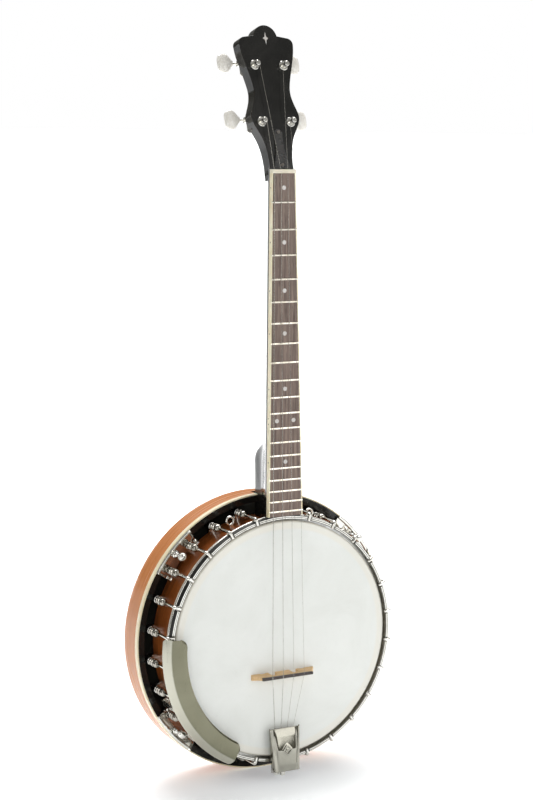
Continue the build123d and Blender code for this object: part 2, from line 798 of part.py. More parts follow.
def neck_shaft():
    start = neck_section(6.0, nut_half_width, neck_depth_nut)
    y = board_y(heel_start_y)
    return neck_place * loft([start, neck_section(y, board_half_width(y), neck_depth(y))])


def heel():
    """The shaft's section flows into the keel and stays so until it meets the pot."""
    sections = []
    for bench_y, mix in (*heel_mix, (heel_end_y, 1.0)):
        y = board_y(bench_y)
        sections.append(neck_section(y, board_half_width(y), neck_depth(y), mix))
    return neck_place * (loft(sections[:-1]) + loft(sections[-2:]))


def head_outline():
    """The scalloped headstock seen from the front."""
    side = [(15.4, 0.0), (16.1, 24.0), (20.1, 40.0), (27.0, 53.5), (31.1, 64.5), (27.0, 79.4), (23.4, 95.0),
            (25.0, 107.0), (30.2, 126.0), (35.0, 150.0)]
    shoulder = (28.0, 159.0)
    neck_of_bulge = (15.0, 161.0)
    tip = (0.0, 173.5)
    with BuildSketch() as sketch:
        with BuildLine():
            Line((-15.4, -6.0), (15.4, -6.0))
            Line((15.4, -6.0), side[0])
            Spline(*side)
            ThreePointArc(side[-1], (33.6, 155.9), shoulder)
            Line(shoulder, neck_of_bulge)
            ThreePointArc(neck_of_bulge, tip, (-neck_of_bulge[0], neck_of_bulge[1]))
            Line((-neck_of_bulge[0], neck_of_bulge[1]), (-shoulder[0], shoulder[1]))
            ThreePointArc((-shoulder[0], shoulder[1]), (-33.6, 155.9), (-side[-1][0], side[-1][1]))
            Spline(*[(-x, s) for x, s in reversed(side)])
            Line((-side[0][0], side[0][1]), (-15.4, -6.0))
        make_face()
    return sketch.sketch


def tuner_posts():
    """Each post's side, its place along the headstock and its number."""
    number = 1
    for s in post_rows:
        for side in (-1, 1):
            yield number, side, s
            number += 1


def inlay_shape(low, high):
    """A plain four-pointed lozenge."""
    wide = 3.6
    tall = 7.5
    waist = 1.1
    outline = [(0, tall), (-waist, waist * 1.6), (-wide, 0), (-waist, -waist * 1.6), (0, -tall),
               (waist, -waist * 1.6), (wide, 0), (waist, waist * 1.6)]
    return Pos(0, inlay_s, 0) * prism(outline, low, high)


def make_neck():
    body = neck_shaft() + heel()
    head = extrude(Pos(0, 0, -head_thickness) * head_outline(), head_thickness)
    head = fillet(head.edges().group_by(Axis.Z)[-1], head_round)
    head = head_place * head
    body += head
    body -= neck_place * block(-30, 30, -1, nut_thick, -board_thickness, 20)
    body -= neck_place * block(-40, 40, -board_length - 40, 0, -board_thickness, 40)
    body -= upright(rim_outer_r, 0, 120)
    body -= upright(hoop_outer_r + 0.4, flesh_bottom_z - film - 0.4, 120)
    body -= block(-60, 60, 0, rim_outer_r - 2, 0, 120)
    body -= make_truss_rod()
    body -= rod((0, rim_outer_r - 5, coordinator_z), (0, rim_outer_r + stub_reach, coordinator_z), stub_r)
    for number, side, s in tuner_posts():
        body -= head_place * upright(bushing_r, -head_thickness - 1, 1, x=side * post_x, y=s)
        for dx, dy in plate_screw_offsets:
            low = -head_thickness - 1
            body -= head_place * upright(wood_screw_r, low, low + 7, x=side * post_x + dx, y=s + dy)
    for s in cover_screw_s:
        body -= head_place * upright(wood_screw_r, -6, 1, y=s)
    return body - head_place * inlay_shape(-inlay_depth, 1)


def make_truss_rod():
    half = truss_rod_half
    return neck_place * block(-half, half, -board_length + 30, 0.0, truss_rod_low, -board_thickness)


def make_truss_rod_cover():
    """A waisted plate between the nut and the lower tuners."""
    with BuildSketch() as sketch:
        with BuildLine():
            Polyline((9.5, cover_start), (-9.5, cover_start), (-9.0, cover_start + 6))
            Spline((-9.0, cover_start + 6), (-5.4, cover_start + 24), (-5.0, cover_end - 6))
            ThreePointArc((-5.0, cover_end - 6), (0, cover_end), (5.0, cover_end - 6))
            Spline((5.0, cover_end - 6), (5.4, cover_start + 24), (9.0, cover_start + 6))
            Line((9.0, cover_start + 6), (9.5, cover_start))
        make_face()
    body = extrude(sketch.sketch, cover_thickness)
    for s in cover_screw_s:
        body -= upright(wood_screw_r, -1, 3, y=s)
    return head_place * body


def wood_screw(x, s, face, out):
    """A round-headed screw; out is +1 on the headstock's front and -1 on its back."""
    shank = upright(wood_screw_r, min(face, face - out * 6.5), max(face, face - out * 6.5), x=x, y=s)
    head = upright(2.1, min(face, face + out * 1.0), max(face, face + out * 1.0), x=x, y=s)
    slot_low = min(face + out * 0.5, face + out * 1.2)
    head -= block(x - 3, x + 3, s - 0.3, s + 0.3, slot_low, slot_low + 0.7)
    return shank + head


def make_small_screws():
    screws = [wood_screw(0, s, cover_thickness, 1) for s in cover_screw_s]
    for number, side, s in tuner_posts():
        for dx, dy in plate_screw_offsets:
            screws.append(wood_screw(side * post_x + dx, s + dy, -head_thickness - tuner_sheet, -1))
    return head_place * group(screws)


# Tuners

def tuner_plate(side, s):
    """A back plate with two ears that carry the worm's shaft."""
    back = -head_thickness
    x = side * post_x
    body = block(x - 11, x + 11, s - 9, s + 13.5, back - tuner_sheet, back)
    body = fillet(body.edges().filter_by(Axis.Z), 2.5)
    y = s + worm_offset
    for offset in (-ear_offset, ear_offset):
        a = x + offset - ear_thickness / 2
        b = x + offset + ear_thickness / 2
        body += block(a, b, y - ear_r, y + ear_r, -worm_depth, back - tuner_sheet + 0.1)
        body += rod((a, y, -worm_depth), (b, y, -worm_depth), ear_r)
    body -= rod((x - 20, y, -worm_depth), (x + 20, y, -worm_depth), shaft_r + running_clearance)
    body -= upright(post_r + running_clearance, back - 5, back + 1, x=x, y=s)
    for dx, dy in plate_screw_offsets:
        body -= upright(wood_screw_r, back - 5, back + 1, x=x + dx, y=s + dy)
    return body


def make_tuner_plates():
    return head_place * group([tuner_plate(side, s) for number, side, s in tuner_posts()])


def make_bushings():
    bodies = []
    for number, side, s in tuner_posts():
        body = upright(bushing_r, -8, 0, x=side * post_x, y=s) 
        body += upright(bushing_flange_r, 0, bushing_flange_height, x=side * post_x, y=s)
        body = chamfer(body.edges().filter_by(GeomType.CIRCLE).group_by(Axis.Z)[-1], 0.5)
        bodies.append(body - upright(post_r + running_clearance, -9, 3, x=side * post_x, y=s))
    return head_place * group(bodies)


def worm_shaft(side, s):
    x = side * post_x
    inner = x - side * (ear_offset + ear_thickness / 2 + 1.2)
    outer = side * (button_x + 12)
    y = s + worm_offset
    body = rod((inner, y, -worm_depth), (outer, y, -worm_depth), shaft_r)
    span = ear_offset - ear_thickness / 2 - 0.3
    body += rod((x - side * span, y, -worm_depth), (x + side * span, y, -worm_depth), worm_r)
    groove_pitch = 2.2
    for k in range(-2, 3):
        centre = x + k * groove_pitch
        low = rod((centre - 0.45, y, -worm_depth), (centre + 0.45, y, -worm_depth), worm_r + 1)
        body -= low - rod((centre - 1, y, -worm_depth), (centre + 1, y, -worm_depth), worm_r - 0.7)
    return head_place * body


def tuner_button(side, s):
    """An oval button, thicker in its middle, on the end of the worm's shaft."""
    centre = side * (button_x + button_length / 2)
    y = s + worm_offset
    plan = Pos(centre, y) * Ellipse(button_length / 2, button_width / 2)
    body = extrude(Pos(0, 0, -worm_depth - button_thickness / 2) * plan, button_thickness)
    body = fillet(body.edges(), 3.4)
    neck = rod((side * (button_x - 1.2), y, -worm_depth), (side * (button_x + 2), y, -worm_depth), 3.4)
    hole = rod((side * (button_x - 3), y, -worm_depth), (side * (button_x + 12), y, -worm_depth), shaft_r)
    return head_place * (body + neck - hole)


def tuner_post(side, s):
    """A string post with its worm wheel behind the headstock."""
    x = side * post_x
    body = upright(post_r, -worm_depth - 2.6, post_top, x=x, y=s)
    body = chamfer(body.edges().filter_by(GeomType.CIRCLE).group_by(Axis.Z)[-1], 0.5)
    waist = ring(post_r - 0.6, post_r + 1, post_waist[0], post_waist[1])
    body -= Pos(x, s, 0) * waist
    body -= rod((x - 5, s, post_string_z), (x + 5, s, post_string_z), 0.7)
    gear = upright(gear_r, -worm_depth - 2.2, -worm_depth + 2.2, x=x, y=s)
    for tooth in range(gear_teeth):
        angle = 2 * math.pi * tooth / gear_teeth
        gear -= upright(0.6, -40, 0, x=x + gear_r * math.cos(angle), y=s + gear_r * math.sin(angle))
    return head_place * (body + gear)


# All pieces

def build():
    parts["rim"] = make_rim()
    parts["tone_ring"] = make_tone_ring()
    parts["drum_head"] = make_drum_head()
    parts["flesh_hoop"] = make_flesh_hoop()
    parts["tension_hoop"] = make_tension_hoop()
    for name, maker in (("hook_bolts", hook_bolt), ("hook_nuts", hook_nut), ("bracket_shoes", bracket_shoe)):
        piece = maker()
        parts[name] = group([turn(piece, s * step_angle) for s in hook_steps])
    screw = shoe_screw()
    parts["shoe_screws"] = group([turn(screw, s * step_angle) for s in range(1, hook_positions)])
    lug_steps = (-strap_lug_step, strap_lug_step)
    parts["strap_lugs"] = group([turn(strap_lug(), s * step_angle) for s in lug_steps])
    parts["coordinator_rod"] = make_coordinator_rod()
    parts["coordinator_nuts"] = make_coordinator_nuts()
    parts["resonator_shell"] = make_resonator_shell()
    parts["resonator_binding"] = make_resonator_binding()
    parts["resonator_ledge"] = make_resonator_ledge()
    parts["wall_lugs"] = group([turn(wall_lug(), a) for a in plate_angles])
    parts["flange_plates"] = group([turn(flange_plate(), a) for a in plate_angles])
    for number, angle in enumerate(plate_angles, 1):
        parts[f"thumb_screw_{number}"] = turn(thumb_screw(), angle)
    parts["armrest"] = make_armrest()
    parts["armrest_legs"] = group([turn(armrest_leg(), a) for a in armrest_leg_angles])
    parts["armrest_screws"] = group([turn(armrest_screw(), a) for a in armrest_leg_angles])
    parts["tailpiece_base"] = make_tailpiece_base()
    parts["tailpiece_cover"] = make_tailpiece_cover()
    parts["tailpiece_pin"] = make_tailpiece_pin()
    parts["tailpiece_hanger"] = make_tailpiece_hanger()
    parts["tailpiece_bolt"] = make_tailpiece_bolt()
    parts["tailpiece_nut"] = make_tailpiece_nut()
    parts["bridge_feet"] = make_bridge_feet()
    parts["bridge_top"] = make_bridge_top()
    for index in range(4):
        parts[f"string_{index + 1}"] = string_body(index)
    parts["neck"] = make_neck()
    parts["fingerboard"] = make_fingerboard()
    parts["fingerboard_binding"] = make_binding()
    parts["frets"] = make_frets()
    parts["position_dots"] = neck_place * group(dots())
    parts["nut"] = make_nut()
    parts["truss_rod"] = make_truss_rod()
    parts["truss_rod_cover"] = make_truss_rod_cover()
    parts["small_screws"] = make_small_screws()
    parts["headstock_inlay"] = head_place * inlay_shape(-inlay_depth, 0)
    parts["tuner_plates"] = make_tuner_plates()
    parts["tuner_bushings"] = make_bushings()
    for number, side, s in tuner_posts():
        parts[f"worm_shaft_{number}"] = worm_shaft(side, s)
        parts[f"tuner_button_{number}"] = tuner_button(side, s)
        parts[f"tuner_post_{number}"] = tuner_post(side, s)


build()
os.makedirs("parts", exist_ok=True)
stand_up = Rot(90, 0, 0)
for name, shape in parts.items():
    export_step(stand_up * shape, f"parts/{name}.step")
    print(name, len(shape.solids()))
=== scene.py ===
import json
import math

import bmesh
import bpy
from mathutils import Euler, Matrix, Vector


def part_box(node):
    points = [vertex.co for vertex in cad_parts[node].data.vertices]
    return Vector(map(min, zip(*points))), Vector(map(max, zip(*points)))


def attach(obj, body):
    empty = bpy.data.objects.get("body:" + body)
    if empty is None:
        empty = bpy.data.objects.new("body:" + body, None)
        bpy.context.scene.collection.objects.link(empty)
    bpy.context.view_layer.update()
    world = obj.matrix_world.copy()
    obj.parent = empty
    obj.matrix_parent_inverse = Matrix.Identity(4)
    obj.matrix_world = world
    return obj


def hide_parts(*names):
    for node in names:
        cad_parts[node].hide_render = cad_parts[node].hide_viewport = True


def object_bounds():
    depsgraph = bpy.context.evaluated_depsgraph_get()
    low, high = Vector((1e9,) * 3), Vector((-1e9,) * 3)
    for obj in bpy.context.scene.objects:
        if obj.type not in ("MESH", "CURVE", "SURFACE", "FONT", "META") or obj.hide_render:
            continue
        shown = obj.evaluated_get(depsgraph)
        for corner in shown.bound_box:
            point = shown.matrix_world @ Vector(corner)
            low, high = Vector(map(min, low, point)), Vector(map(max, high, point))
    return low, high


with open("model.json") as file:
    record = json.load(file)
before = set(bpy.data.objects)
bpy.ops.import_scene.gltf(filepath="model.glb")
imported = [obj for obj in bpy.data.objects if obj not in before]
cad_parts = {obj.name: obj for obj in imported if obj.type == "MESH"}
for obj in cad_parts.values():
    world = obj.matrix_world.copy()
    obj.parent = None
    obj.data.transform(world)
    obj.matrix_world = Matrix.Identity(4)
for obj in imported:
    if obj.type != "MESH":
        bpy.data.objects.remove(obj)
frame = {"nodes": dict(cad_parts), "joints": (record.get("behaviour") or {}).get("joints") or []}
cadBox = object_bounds()
nodes = frame["nodes"]
joints = {joint["name"]: joint for joint in frame["joints"]}
mm = 0.001
print("frame loaded:", len(nodes), "nodes")

floorZ = cadBox[0][2]
fours = range(1, 5)  # thumb screws, flange plates, strings and tuners come in fours


def potPoint(radius, degrees, front):
    # a place on the pot: degrees count from the neck towards the armrest side
    a = math.radians(degrees)
    return Vector((-radius * math.sin(a), front, radius * math.cos(a)))


def addNode(tree, kind, **values):
    node = tree.nodes.new(kind)
    for key, value in values.items():
        setattr(node, key, value)
    return node


def link(tree, source, target):
    tree.links.new(source, target)


def feed(tree, socket, value):
    # a number or a colour is set on the socket, anything else is linked to it
    if isinstance(value, (int, float)):
        socket.default_value = value
    elif isinstance(value, tuple):
        socket.default_value = (*value, 1.0)
    else:
        link(tree, value, socket)


def newGroup(name, inputs, outputs):
    group = bpy.data.node_groups.new(name, "ShaderNodeTree")
    for label, kind, value in inputs:
        socket = group.interface.new_socket(label, in_out="INPUT", socket_type=kind)
        if value is not None:
            socket.default_value = value
    for label, kind in outputs:
        group.interface.new_socket(label, in_out="OUTPUT", socket_type=kind)
    return group, addNode(group, "NodeGroupInput"), addNode(group, "NodeGroupOutput")


def mathNode(tree, operation, a, b=None, clamp=False):
    node = addNode(tree, "ShaderNodeMath", operation=operation, use_clamp=clamp)
    for index, value in enumerate((a, b)):
        if value is not None:
            feed(tree, node.inputs[index], value)
    return node.outputs[0]


def remap(tree, value, low, high, toLow=0.0, toHigh=1.0):
    node = addNode(tree, "ShaderNodeMapRange", clamp=True)
    link(tree, value, node.inputs["Value"])
    for label, number in (("From Min", low), ("From Max", high), ("To Min", toLow), ("To Max", toHigh)):
        feed(tree, node.inputs[label], number)
    return node.outputs["Result"]


def mixColor(tree, factor, a, b, blend="MIX"):
    node = addNode(tree, "ShaderNodeMix", data_type="RGBA", blend_type=blend)
    for index, value in ((0, factor), (6, a), (7, b)):
        feed(tree, node.inputs[index], value)
    return node.outputs[2]


def scaledCoords(tree, scale):
    coords = addNode(tree, "ShaderNodeTexCoord")
    mapping = addNode(tree, "ShaderNodeMapping")
    mapping.inputs["Scale"].default_value = scale
    link(tree, coords.outputs["Object"], mapping.inputs["Vector"])
    return mapping.outputs["Vector"]


def noiseValue(tree, vector, scale, detail=4.0, roughness=0.55, distortion=0.0):
    node = addNode(tree, "ShaderNodeTexNoise")
    node.inputs["Detail"].default_value = detail
    node.inputs["Roughness"].default_value = roughness
    node.inputs["Distortion"].default_value = distortion
    link(tree, vector, node.inputs["Vector"])
    feed(tree, node.inputs["Scale"], scale)
    return node.outputs["Fac"]


def buildWoodGrain():
    # streaks along the grain, fine pores and a slow cloud, from stretched coordinates
    group, gin, gout = newGroup("woodGrain",
                                [("Vector", "NodeSocketVector", None), ("Scale", "NodeSocketFloat", 120.0),
                                              ("Figure", "NodeSocketFloat", 0.3)],
                                [("Streak", "NodeSocketFloat"), ("Pore", "NodeSocketFloat"),
                                 ("Cloud", "NodeSocketFloat")])
    streak = noiseValue(group, gin.outputs["Vector"], gin.outputs["Scale"], 6.0, 0.62, 0.4)
    fine = noiseValue(group, gin.outputs["Vector"], mathNode(group, "MULTIPLY", gin.outputs["Scale"], 4.3),
                      3.0, 0.6)
    cloud = noiseValue(group, gin.outputs["Vector"],
                       mathNode(group, "MULTIPLY", gin.outputs["Scale"], 0.21), 2.0)
    wave = addNode(group, "ShaderNodeMix", data_type="FLOAT")
    link(group, gin.outputs["Figure"], wave.inputs[0])
    link(group, streak, wave.inputs[2])
    link(group, cloud, wave.inputs[3])
    link(group, remap(group, wave.outputs[0], 0.3, 0.7), gout.inputs["Streak"])
    link(group, remap(group, fine, 0.60, 0.72), gout.inputs["Pore"])
    link(group, remap(group, cloud, 0.35, 0.65), gout.inputs["Cloud"])
    return group


def buildEdgeWear():
    # a mask that is 1 on worn convex edges, broken up by noise
    group, gin, gout = newGroup("edgeWear", [("Amount", "NodeSocketFloat", 0.5)],
                                [("Mask", "NodeSocketFloat")])
    bevel = addNode(group, "ShaderNodeBevel", samples=4)
    bevel.inputs["Radius"].default_value = 0.7 * mm
    geometry = addNode(group, "ShaderNodeNewGeometry")
    dot = addNode(group, "ShaderNodeVectorMath", operation="DOT_PRODUCT")
    link(group, bevel.outputs["Normal"], dot.inputs[0])
    link(group, geometry.outputs["Normal"], dot.inputs[1])
    edge = remap(group, dot.outputs["Value"], 0.995, 0.93)
    breakUp = remap(group, noiseValue(group, scaledCoords(group, (1, 1, 1)), 350.0), 0.42, 0.62)
    both = mathNode(group, "MULTIPLY", edge, breakUp)
    link(group, mathNode(group, "MULTIPLY", both, gin.outputs["Amount"], clamp=True), gout.inputs["Mask"])
    return group


def buildHandling():
    # slow smudges, fine scratches and settled dust, all from place alone
    group, gin, gout = newGroup("handling", [("Scale", "NodeSocketFloat", 60.0)],
                                [("Smudge", "NodeSocketFloat"), ("Scratch", "NodeSocketFloat"),
                                 ("Speck", "NodeSocketFloat")])
    coords = scaledCoords(group, (1, 1, 1))
    smudge = noiseValue(group, coords, gin.outputs["Scale"], 5.0, 0.6, 0.8)
    long = scaledCoords(group, (1.0, 0.35, 0.08))
    scratch = noiseValue(group, long, mathNode(group, "MULTIPLY", gin.outputs["Scale"], 22.0), 2.0, 0.5)
    speck = noiseValue(group, coords, mathNode(group, "MULTIPLY", gin.outputs["Scale"], 30.0), 1.0)
    link(group, remap(group, smudge, 0.35, 0.7), gout.inputs["Smudge"])
    link(group, remap(group, scratch, 0.62, 0.7), gout.inputs["Scratch"])
    link(group, remap(group, speck, 0.66, 0.74), gout.inputs["Speck"])
    return group


def buildPotRadius():
    # distance from the pot's axis, and a mask that rises between two radii
    group, gin, gout = newGroup("potRadius",
                                [("Low", "NodeSocketFloat", 0.1), ("High", "NodeSocketFloat", 0.2)],
                                [("Radius", "NodeSocketFloat"), ("Mask", "NodeSocketFloat")])
    split = addNode(group, "ShaderNodeSeparateXYZ")
    link(group, addNode(group, "ShaderNodeTexCoord").outputs["Object"], split.inputs[0])
    squares = mathNode(group, "ADD", mathNode(group, "POWER", split.outputs["X"], 2.0),
                       mathNode(group, "POWER", split.outputs["Z"], 2.0))
    radius = mathNode(group, "SQRT", squares)
    link(group, radius, gout.inputs["Radius"])
    link(group, remap(group, radius, gin.outputs["Low"], gin.outputs["High"]), gout.inputs["Mask"])
    return group


def buildOutward():
    # a mask of the faces that look away from the pot's axis
    group, gin, gout = newGroup("outward",
                                [("Low", "NodeSocketFloat", 0.0), ("High", "NodeSocketFloat", 0.1)],
                                [("Mask", "NodeSocketFloat")])
    geometry = addNode(group, "ShaderNodeNewGeometry")
    flat = addNode(group, "ShaderNodeVectorMath", operation="MULTIPLY")
    link(group, geometry.outputs["Position"], flat.inputs[0])
    flat.inputs[1].default_value = (1.0, 0.0, 1.0)
    dot = addNode(group, "ShaderNodeVectorMath", operation="DOT_PRODUCT")
    link(group, flat.outputs[0], dot.inputs[0])
    link(group, geometry.outputs["Normal"], dot.inputs[1])
    mask = remap(group, dot.outputs["Value"], gin.outputs["Low"], gin.outputs["High"])
    link(group, mask, gout.inputs["Mask"])
    return group


woodGrain = buildWoodGrain()
edgeWear = buildEdgeWear()
handling = buildHandling()
potRadius = buildPotRadius()
outward = buildOutward()


def place(tree, group, **values):
    node = addNode(tree, "ShaderNodeGroup", node_tree=group)
    for label, value in values.items():
        feed(tree, node.inputs[label], value)
    return node


def newMaterial(name, **fixed):
    # a material with one Principled shader; fixed sockets are set on the shader itself
    material = bpy.data.materials.new(name)
    material.use_nodes = True
    tree = material.node_tree
    tree.nodes.clear()
    shader = addNode(tree, "ShaderNodeBsdfPrincipled")
    link(tree, shader.outputs[0], addNode(tree, "ShaderNodeOutputMaterial").inputs["Surface"])
    for label, value in fixed.items():
        shader.inputs[label.replace("_", " ")].default_value = value
    return material, tree, shader


def bumpInto(tree, shader, height, strength, distance):
    bump = addNode(tree, "ShaderNodeBump")
    bump.inputs["Strength"].default_value = strength
    bump.inputs["Distance"].default_value = distance
    link(tree, height, bump.inputs["Height"])
    link(tree, bump.outputs["Normal"], shader.inputs["Normal"])


plate = dict(bright=(0.80, 0.79, 0.75), base=(0.30, 0.22, 0.12))


def platedMetal(name, bright, dull, wearAmount=0.4, roughLow=0.12, roughHigh=0.32, scale=60.0,
                skirtHighlight=None):
    material, tree, shader = newMaterial(name, Metallic=1.0)
    marks = place(tree, handling, Scale=scale)
    worn = place(tree, edgeWear, Amount=wearAmount)
    color = mixColor(tree, marks.outputs["Smudge"], bright, dull)
    # painted highlight: faces that look away from the pot's axis get a lighter colour
    if skirtHighlight:
        color = mixColor(tree, place(tree, outward, Low=0.03, High=0.07).outputs["Mask"], color, skirtHighlight)
    color = mixColor(tree, worn.outputs["Mask"], color, plate["base"])
    link(tree, color, shader.inputs["Base Color"])
    rough = remap(tree, marks.outputs["Smudge"], 0.0, 1.0, roughLow, roughHigh)
    rough = mathNode(tree, "ADD", rough, remap(tree, marks.outputs["Scratch"], 0, 1, 0.0, 0.15), clamp=True)
    link(tree, rough, shader.inputs["Roughness"])
    bumpInto(tree, shader, marks.outputs["Scratch"], 0.15, 0.02 * mm)
    return material


# center and flank place the hoop's painted shade lines; dark is the colour of that painted shade
ringSet = dict(center=(0.1420, 0.1438, 0.1456), width=0.0003, flank=(0.0838, 0.0906), flankWidth=0.0003,
               dark=(0.025, 0.024, 0.022))


def ringedMetal():
    # plated hoop; the thin dark lines drawn into its colour are painted shade and painted dark reflection in
    # its grooves and at its edges
    material, tree, shader = newMaterial("hoopNickel", Metallic=1.0)
    marks = place(tree, handling, Scale=40.0)
    split = addNode(tree, "ShaderNodeSeparateXYZ")
    link(tree, addNode(tree, "ShaderNodeTexCoord").outputs["Object"], split.inputs[0])
    radius = place(tree, potRadius).outputs["Radius"]
    paintedGrooveShade = None
    sets = [(radius, value, ringSet["width"]) for value in ringSet["center"]]
    sets += [(split.outputs["Y"], -value, ringSet["flankWidth"]) for value in ringSet["flank"]]
    for source, value, width in sets:
        away = mathNode(tree, "ABSOLUTE", mathNode(tree, "SUBTRACT", source, value))
        line = remap(tree, away, width * 1.5, width * 0.6)
        paintedGrooveShade = line if paintedGrooveShade is None else mathNode(tree, "MAXIMUM", paintedGrooveShade, line)
    color = mixColor(tree, marks.outputs["Smudge"], (0.84, 0.83, 0.78), (0.66, 0.64, 0.58))
    # painted shade: the dark lines are mixed into the hoop's colour
    color = mixColor(tree, paintedGrooveShade, color, ringSet["dark"])
    link(tree, color, shader.inputs["Base Color"])
    rough = remap(tree, marks.outputs["Smudge"], 0.0, 1.0, 0.06, 0.14)
    link(tree, mathNode(tree, "ADD", rough, mathNode(tree, "MULTIPLY", paintedGrooveShade, 0.3), clamp=True),
         shader.inputs["Roughness"])
    bumpInto(tree, shader, mathNode(tree, "SUBTRACT", 1.0, paintedGrooveShade), 0.3, 0.1 * mm)
    return material


def woodMaterial(name, stretch, scale, light, dark, pore, figure=0.3, gloss=0.35, coat=0.0, poreBump=0.2):
    material, tree, shader = newMaterial(name, Coat_Weight=coat, Coat_Roughness=0.08)
    grain = place(tree, woodGrain, Vector=scaledCoords(tree, stretch), Scale=scale, Figure=figure)
    color = mixColor(tree, grain.outputs["Streak"], dark, light)
    color = mixColor(tree, remap(tree, grain.outputs["Cloud"], 0, 1, 0.0, 0.35), color, dark)
    color = mixColor(tree, grain.outputs["Pore"], color, pore)
    link(tree, color, shader.inputs["Base Color"])
    link(tree, remap(tree, grain.outputs["Streak"], 0, 1, gloss + 0.1, gloss), shader.inputs["Roughness"])
    bumpInto(tree, shader, mathNode(tree, "SUBTRACT", 1.0, grain.outputs["Pore"]), poreBump, 0.05 * mm)
    return material


def lacquerBlack():
    material, tree, shader = newMaterial("blackLacquer", Coat_Weight=0.3, Coat_Roughness=0.05,
                                         Specular_IOR_Level=0.3)
    marks = place(tree, handling, Scale=26.0)
    worn = place(tree, edgeWear, Amount=0.35)
    color = mixColor(tree, marks.outputs["Smudge"], (0.009, 0.009, 0.008), (0.016, 0.015, 0.013))
    color = mixColor(tree, worn.outputs["Mask"], color, (0.10, 0.055, 0.03))
    link(tree, color, shader.inputs["Base Color"])
    link(tree, remap(tree, marks.outputs["Smudge"], 0, 1, 0.10, 0.24), shader.inputs["Roughness"])
    bumpInto(tree, shader, marks.outputs["Scratch"], 0.08, 0.02 * mm)
    return material


def celluloid(name, light, warm, rough=0.28):
    # aged plastic binding: slow yellowing and faint layers
    material, tree, shader = newMaterial(name, Subsurface_Weight=0.08, Subsurface_Scale=1.0 * mm)
    marks = place(tree, handling, Scale=40.0)
    color = mixColor(tree, marks.outputs["Smudge"], light, warm)
    color = mixColor(tree, remap(tree, marks.outputs["Speck"], 0, 1, 0, 0.25), color, (0.45, 0.36, 0.22))
    link(tree, color, shader.inputs["Base Color"])
    link(tree, remap(tree, marks.outputs["Smudge"], 0, 1, rough, rough + 0.15), shader.inputs["Roughness"])
    return material


def pearlMaterial(name, tint, deep, scale):
    # clouded shell: bands that swirl from cool to warm
    material, tree, shader = newMaterial(name, Coat_Weight=0.5, Coat_Roughness=0.05)
    coords = scaledCoords(tree, (1, 1, 1))
    swirl = noiseValue(tree, coords, scale, 3.0, 0.5, 2.5)
    fine = noiseValue(tree, coords, scale * 3.7, 2.0, 0.5, 1.2)
    color = mixColor(tree, remap(tree, swirl, 0.38, 0.62), tint, deep)
    color = mixColor(tree, remap(tree, fine, 0.45, 0.7, 0.0, 0.5), color, (0.98, 0.97, 0.95))
    link(tree, color, shader.inputs["Base Color"])
    link(tree, remap(tree, fine, 0.3, 0.7, 0.16, 0.30), shader.inputs["Roughness"])
    return material


def headSkin():
    # coated drum skin: fine frosting, faint age marks and a warmer ring over the tone ring
    material, tree, shader = newMaterial("headSkin", Specular_IOR_Level=0.4)
    coords = addNode(tree, "ShaderNodeTexCoord").outputs["Object"]
    crown = place(tree, potRadius, Low=0.1285, High=0.1315).outputs["Mask"]
    rim = place(tree, potRadius, Low=0.1365, High=0.1392).outputs["Mask"]
    marks = place(tree, handling, Scale=14.0)
    color = mixColor(tree, remap(tree, marks.outputs["Smudge"], 0, 1, 0, 1), (0.80, 0.815, 0.785),
                     (0.74, 0.755, 0.72))
    color = mixColor(tree, mathNode(tree, "MULTIPLY", crown, 0.5), color, (0.80, 0.76, 0.66))
    color = mixColor(tree, mathNode(tree, "MULTIPLY", rim, 0.55), color, (0.55, 0.50, 0.42))
    color = mixColor(tree, remap(tree, marks.outputs["Speck"], 0, 1, 0, 0.06), color, (0.5, 0.49, 0.45))
    link(tree, color, shader.inputs["Base Color"])
    link(tree, remap(tree, marks.outputs["Smudge"], 0, 1, 0.42, 0.58), shader.inputs["Roughness"])
    frost = noiseValue(tree, coords, 1600.0, 3.0, 0.6)
    bumpInto(tree, shader, frost, 0.25, 0.04 * mm)
    return material


def resonatorWood():
    # figured veneer on the flat back, and layers that follow the bent wall
    material, tree, shader = newMaterial("resonatorWood", Specular_IOR_Level=0.3, Coat_Weight=0.12,
                                         Coat_Roughness=0.07)
    wall = place(tree, woodGrain, Vector=scaledCoords(tree, (0.12, 2.4, 0.12)), Scale=170.0, Figure=0.25)
    back = place(tree, woodGrain, Vector=scaledCoords(tree, (1.0, 0.2, 0.07)), Scale=110.0, Figure=0.45)
    flame = noiseValue(tree, scaledCoords(tree, (0.35, 0.3, 2.2)), 34.0, 3.0, 0.5, 1.4)
    geometry = addNode(tree, "ShaderNodeNewGeometry")
    split = addNode(tree, "ShaderNodeSeparateXYZ")
    link(tree, geometry.outputs["Normal"], split.inputs[0])
    facing = remap(tree, mathNode(tree, "ABSOLUTE", split.outputs["Y"]), 0.45, 0.8)
    wallColor = mixColor(tree, wall.outputs["Streak"], (0.47, 0.165, 0.048), (0.57, 0.225, 0.075))
    backColor = mixColor(tree, back.outputs["Streak"], (0.24, 0.095, 0.035), (0.46, 0.22, 0.09))
    backColor = mixColor(tree, remap(tree, flame, 0.4, 0.65, 0.0, 0.55), backColor, (0.58, 0.30, 0.13))
    color = mixColor(tree, facing, wallColor, backColor)
    pores = mathNode(tree, "MULTIPLY", back.outputs["Pore"], facing)
    color = mixColor(tree, pores, color, (0.12, 0.045, 0.02))
    outside = place(tree, outward, Low=0.004, High=0.012).outputs["Mask"]
    painted = mathNode(tree, "MAXIMUM", outside, remap(tree, split.outputs["Y"], 0.05, 0.15))
    color = mixColor(tree, painted, (0.034, 0.033, 0.027), color)
    link(tree, color, shader.inputs["Base Color"])
    link(tree, remap(tree, wall.outputs["Cloud"], 0, 1, 0.22, 0.34), shader.inputs["Roughness"])
    bumpInto(tree, shader, wall.outputs["Streak"], 0.06, 0.05 * mm)
    return material


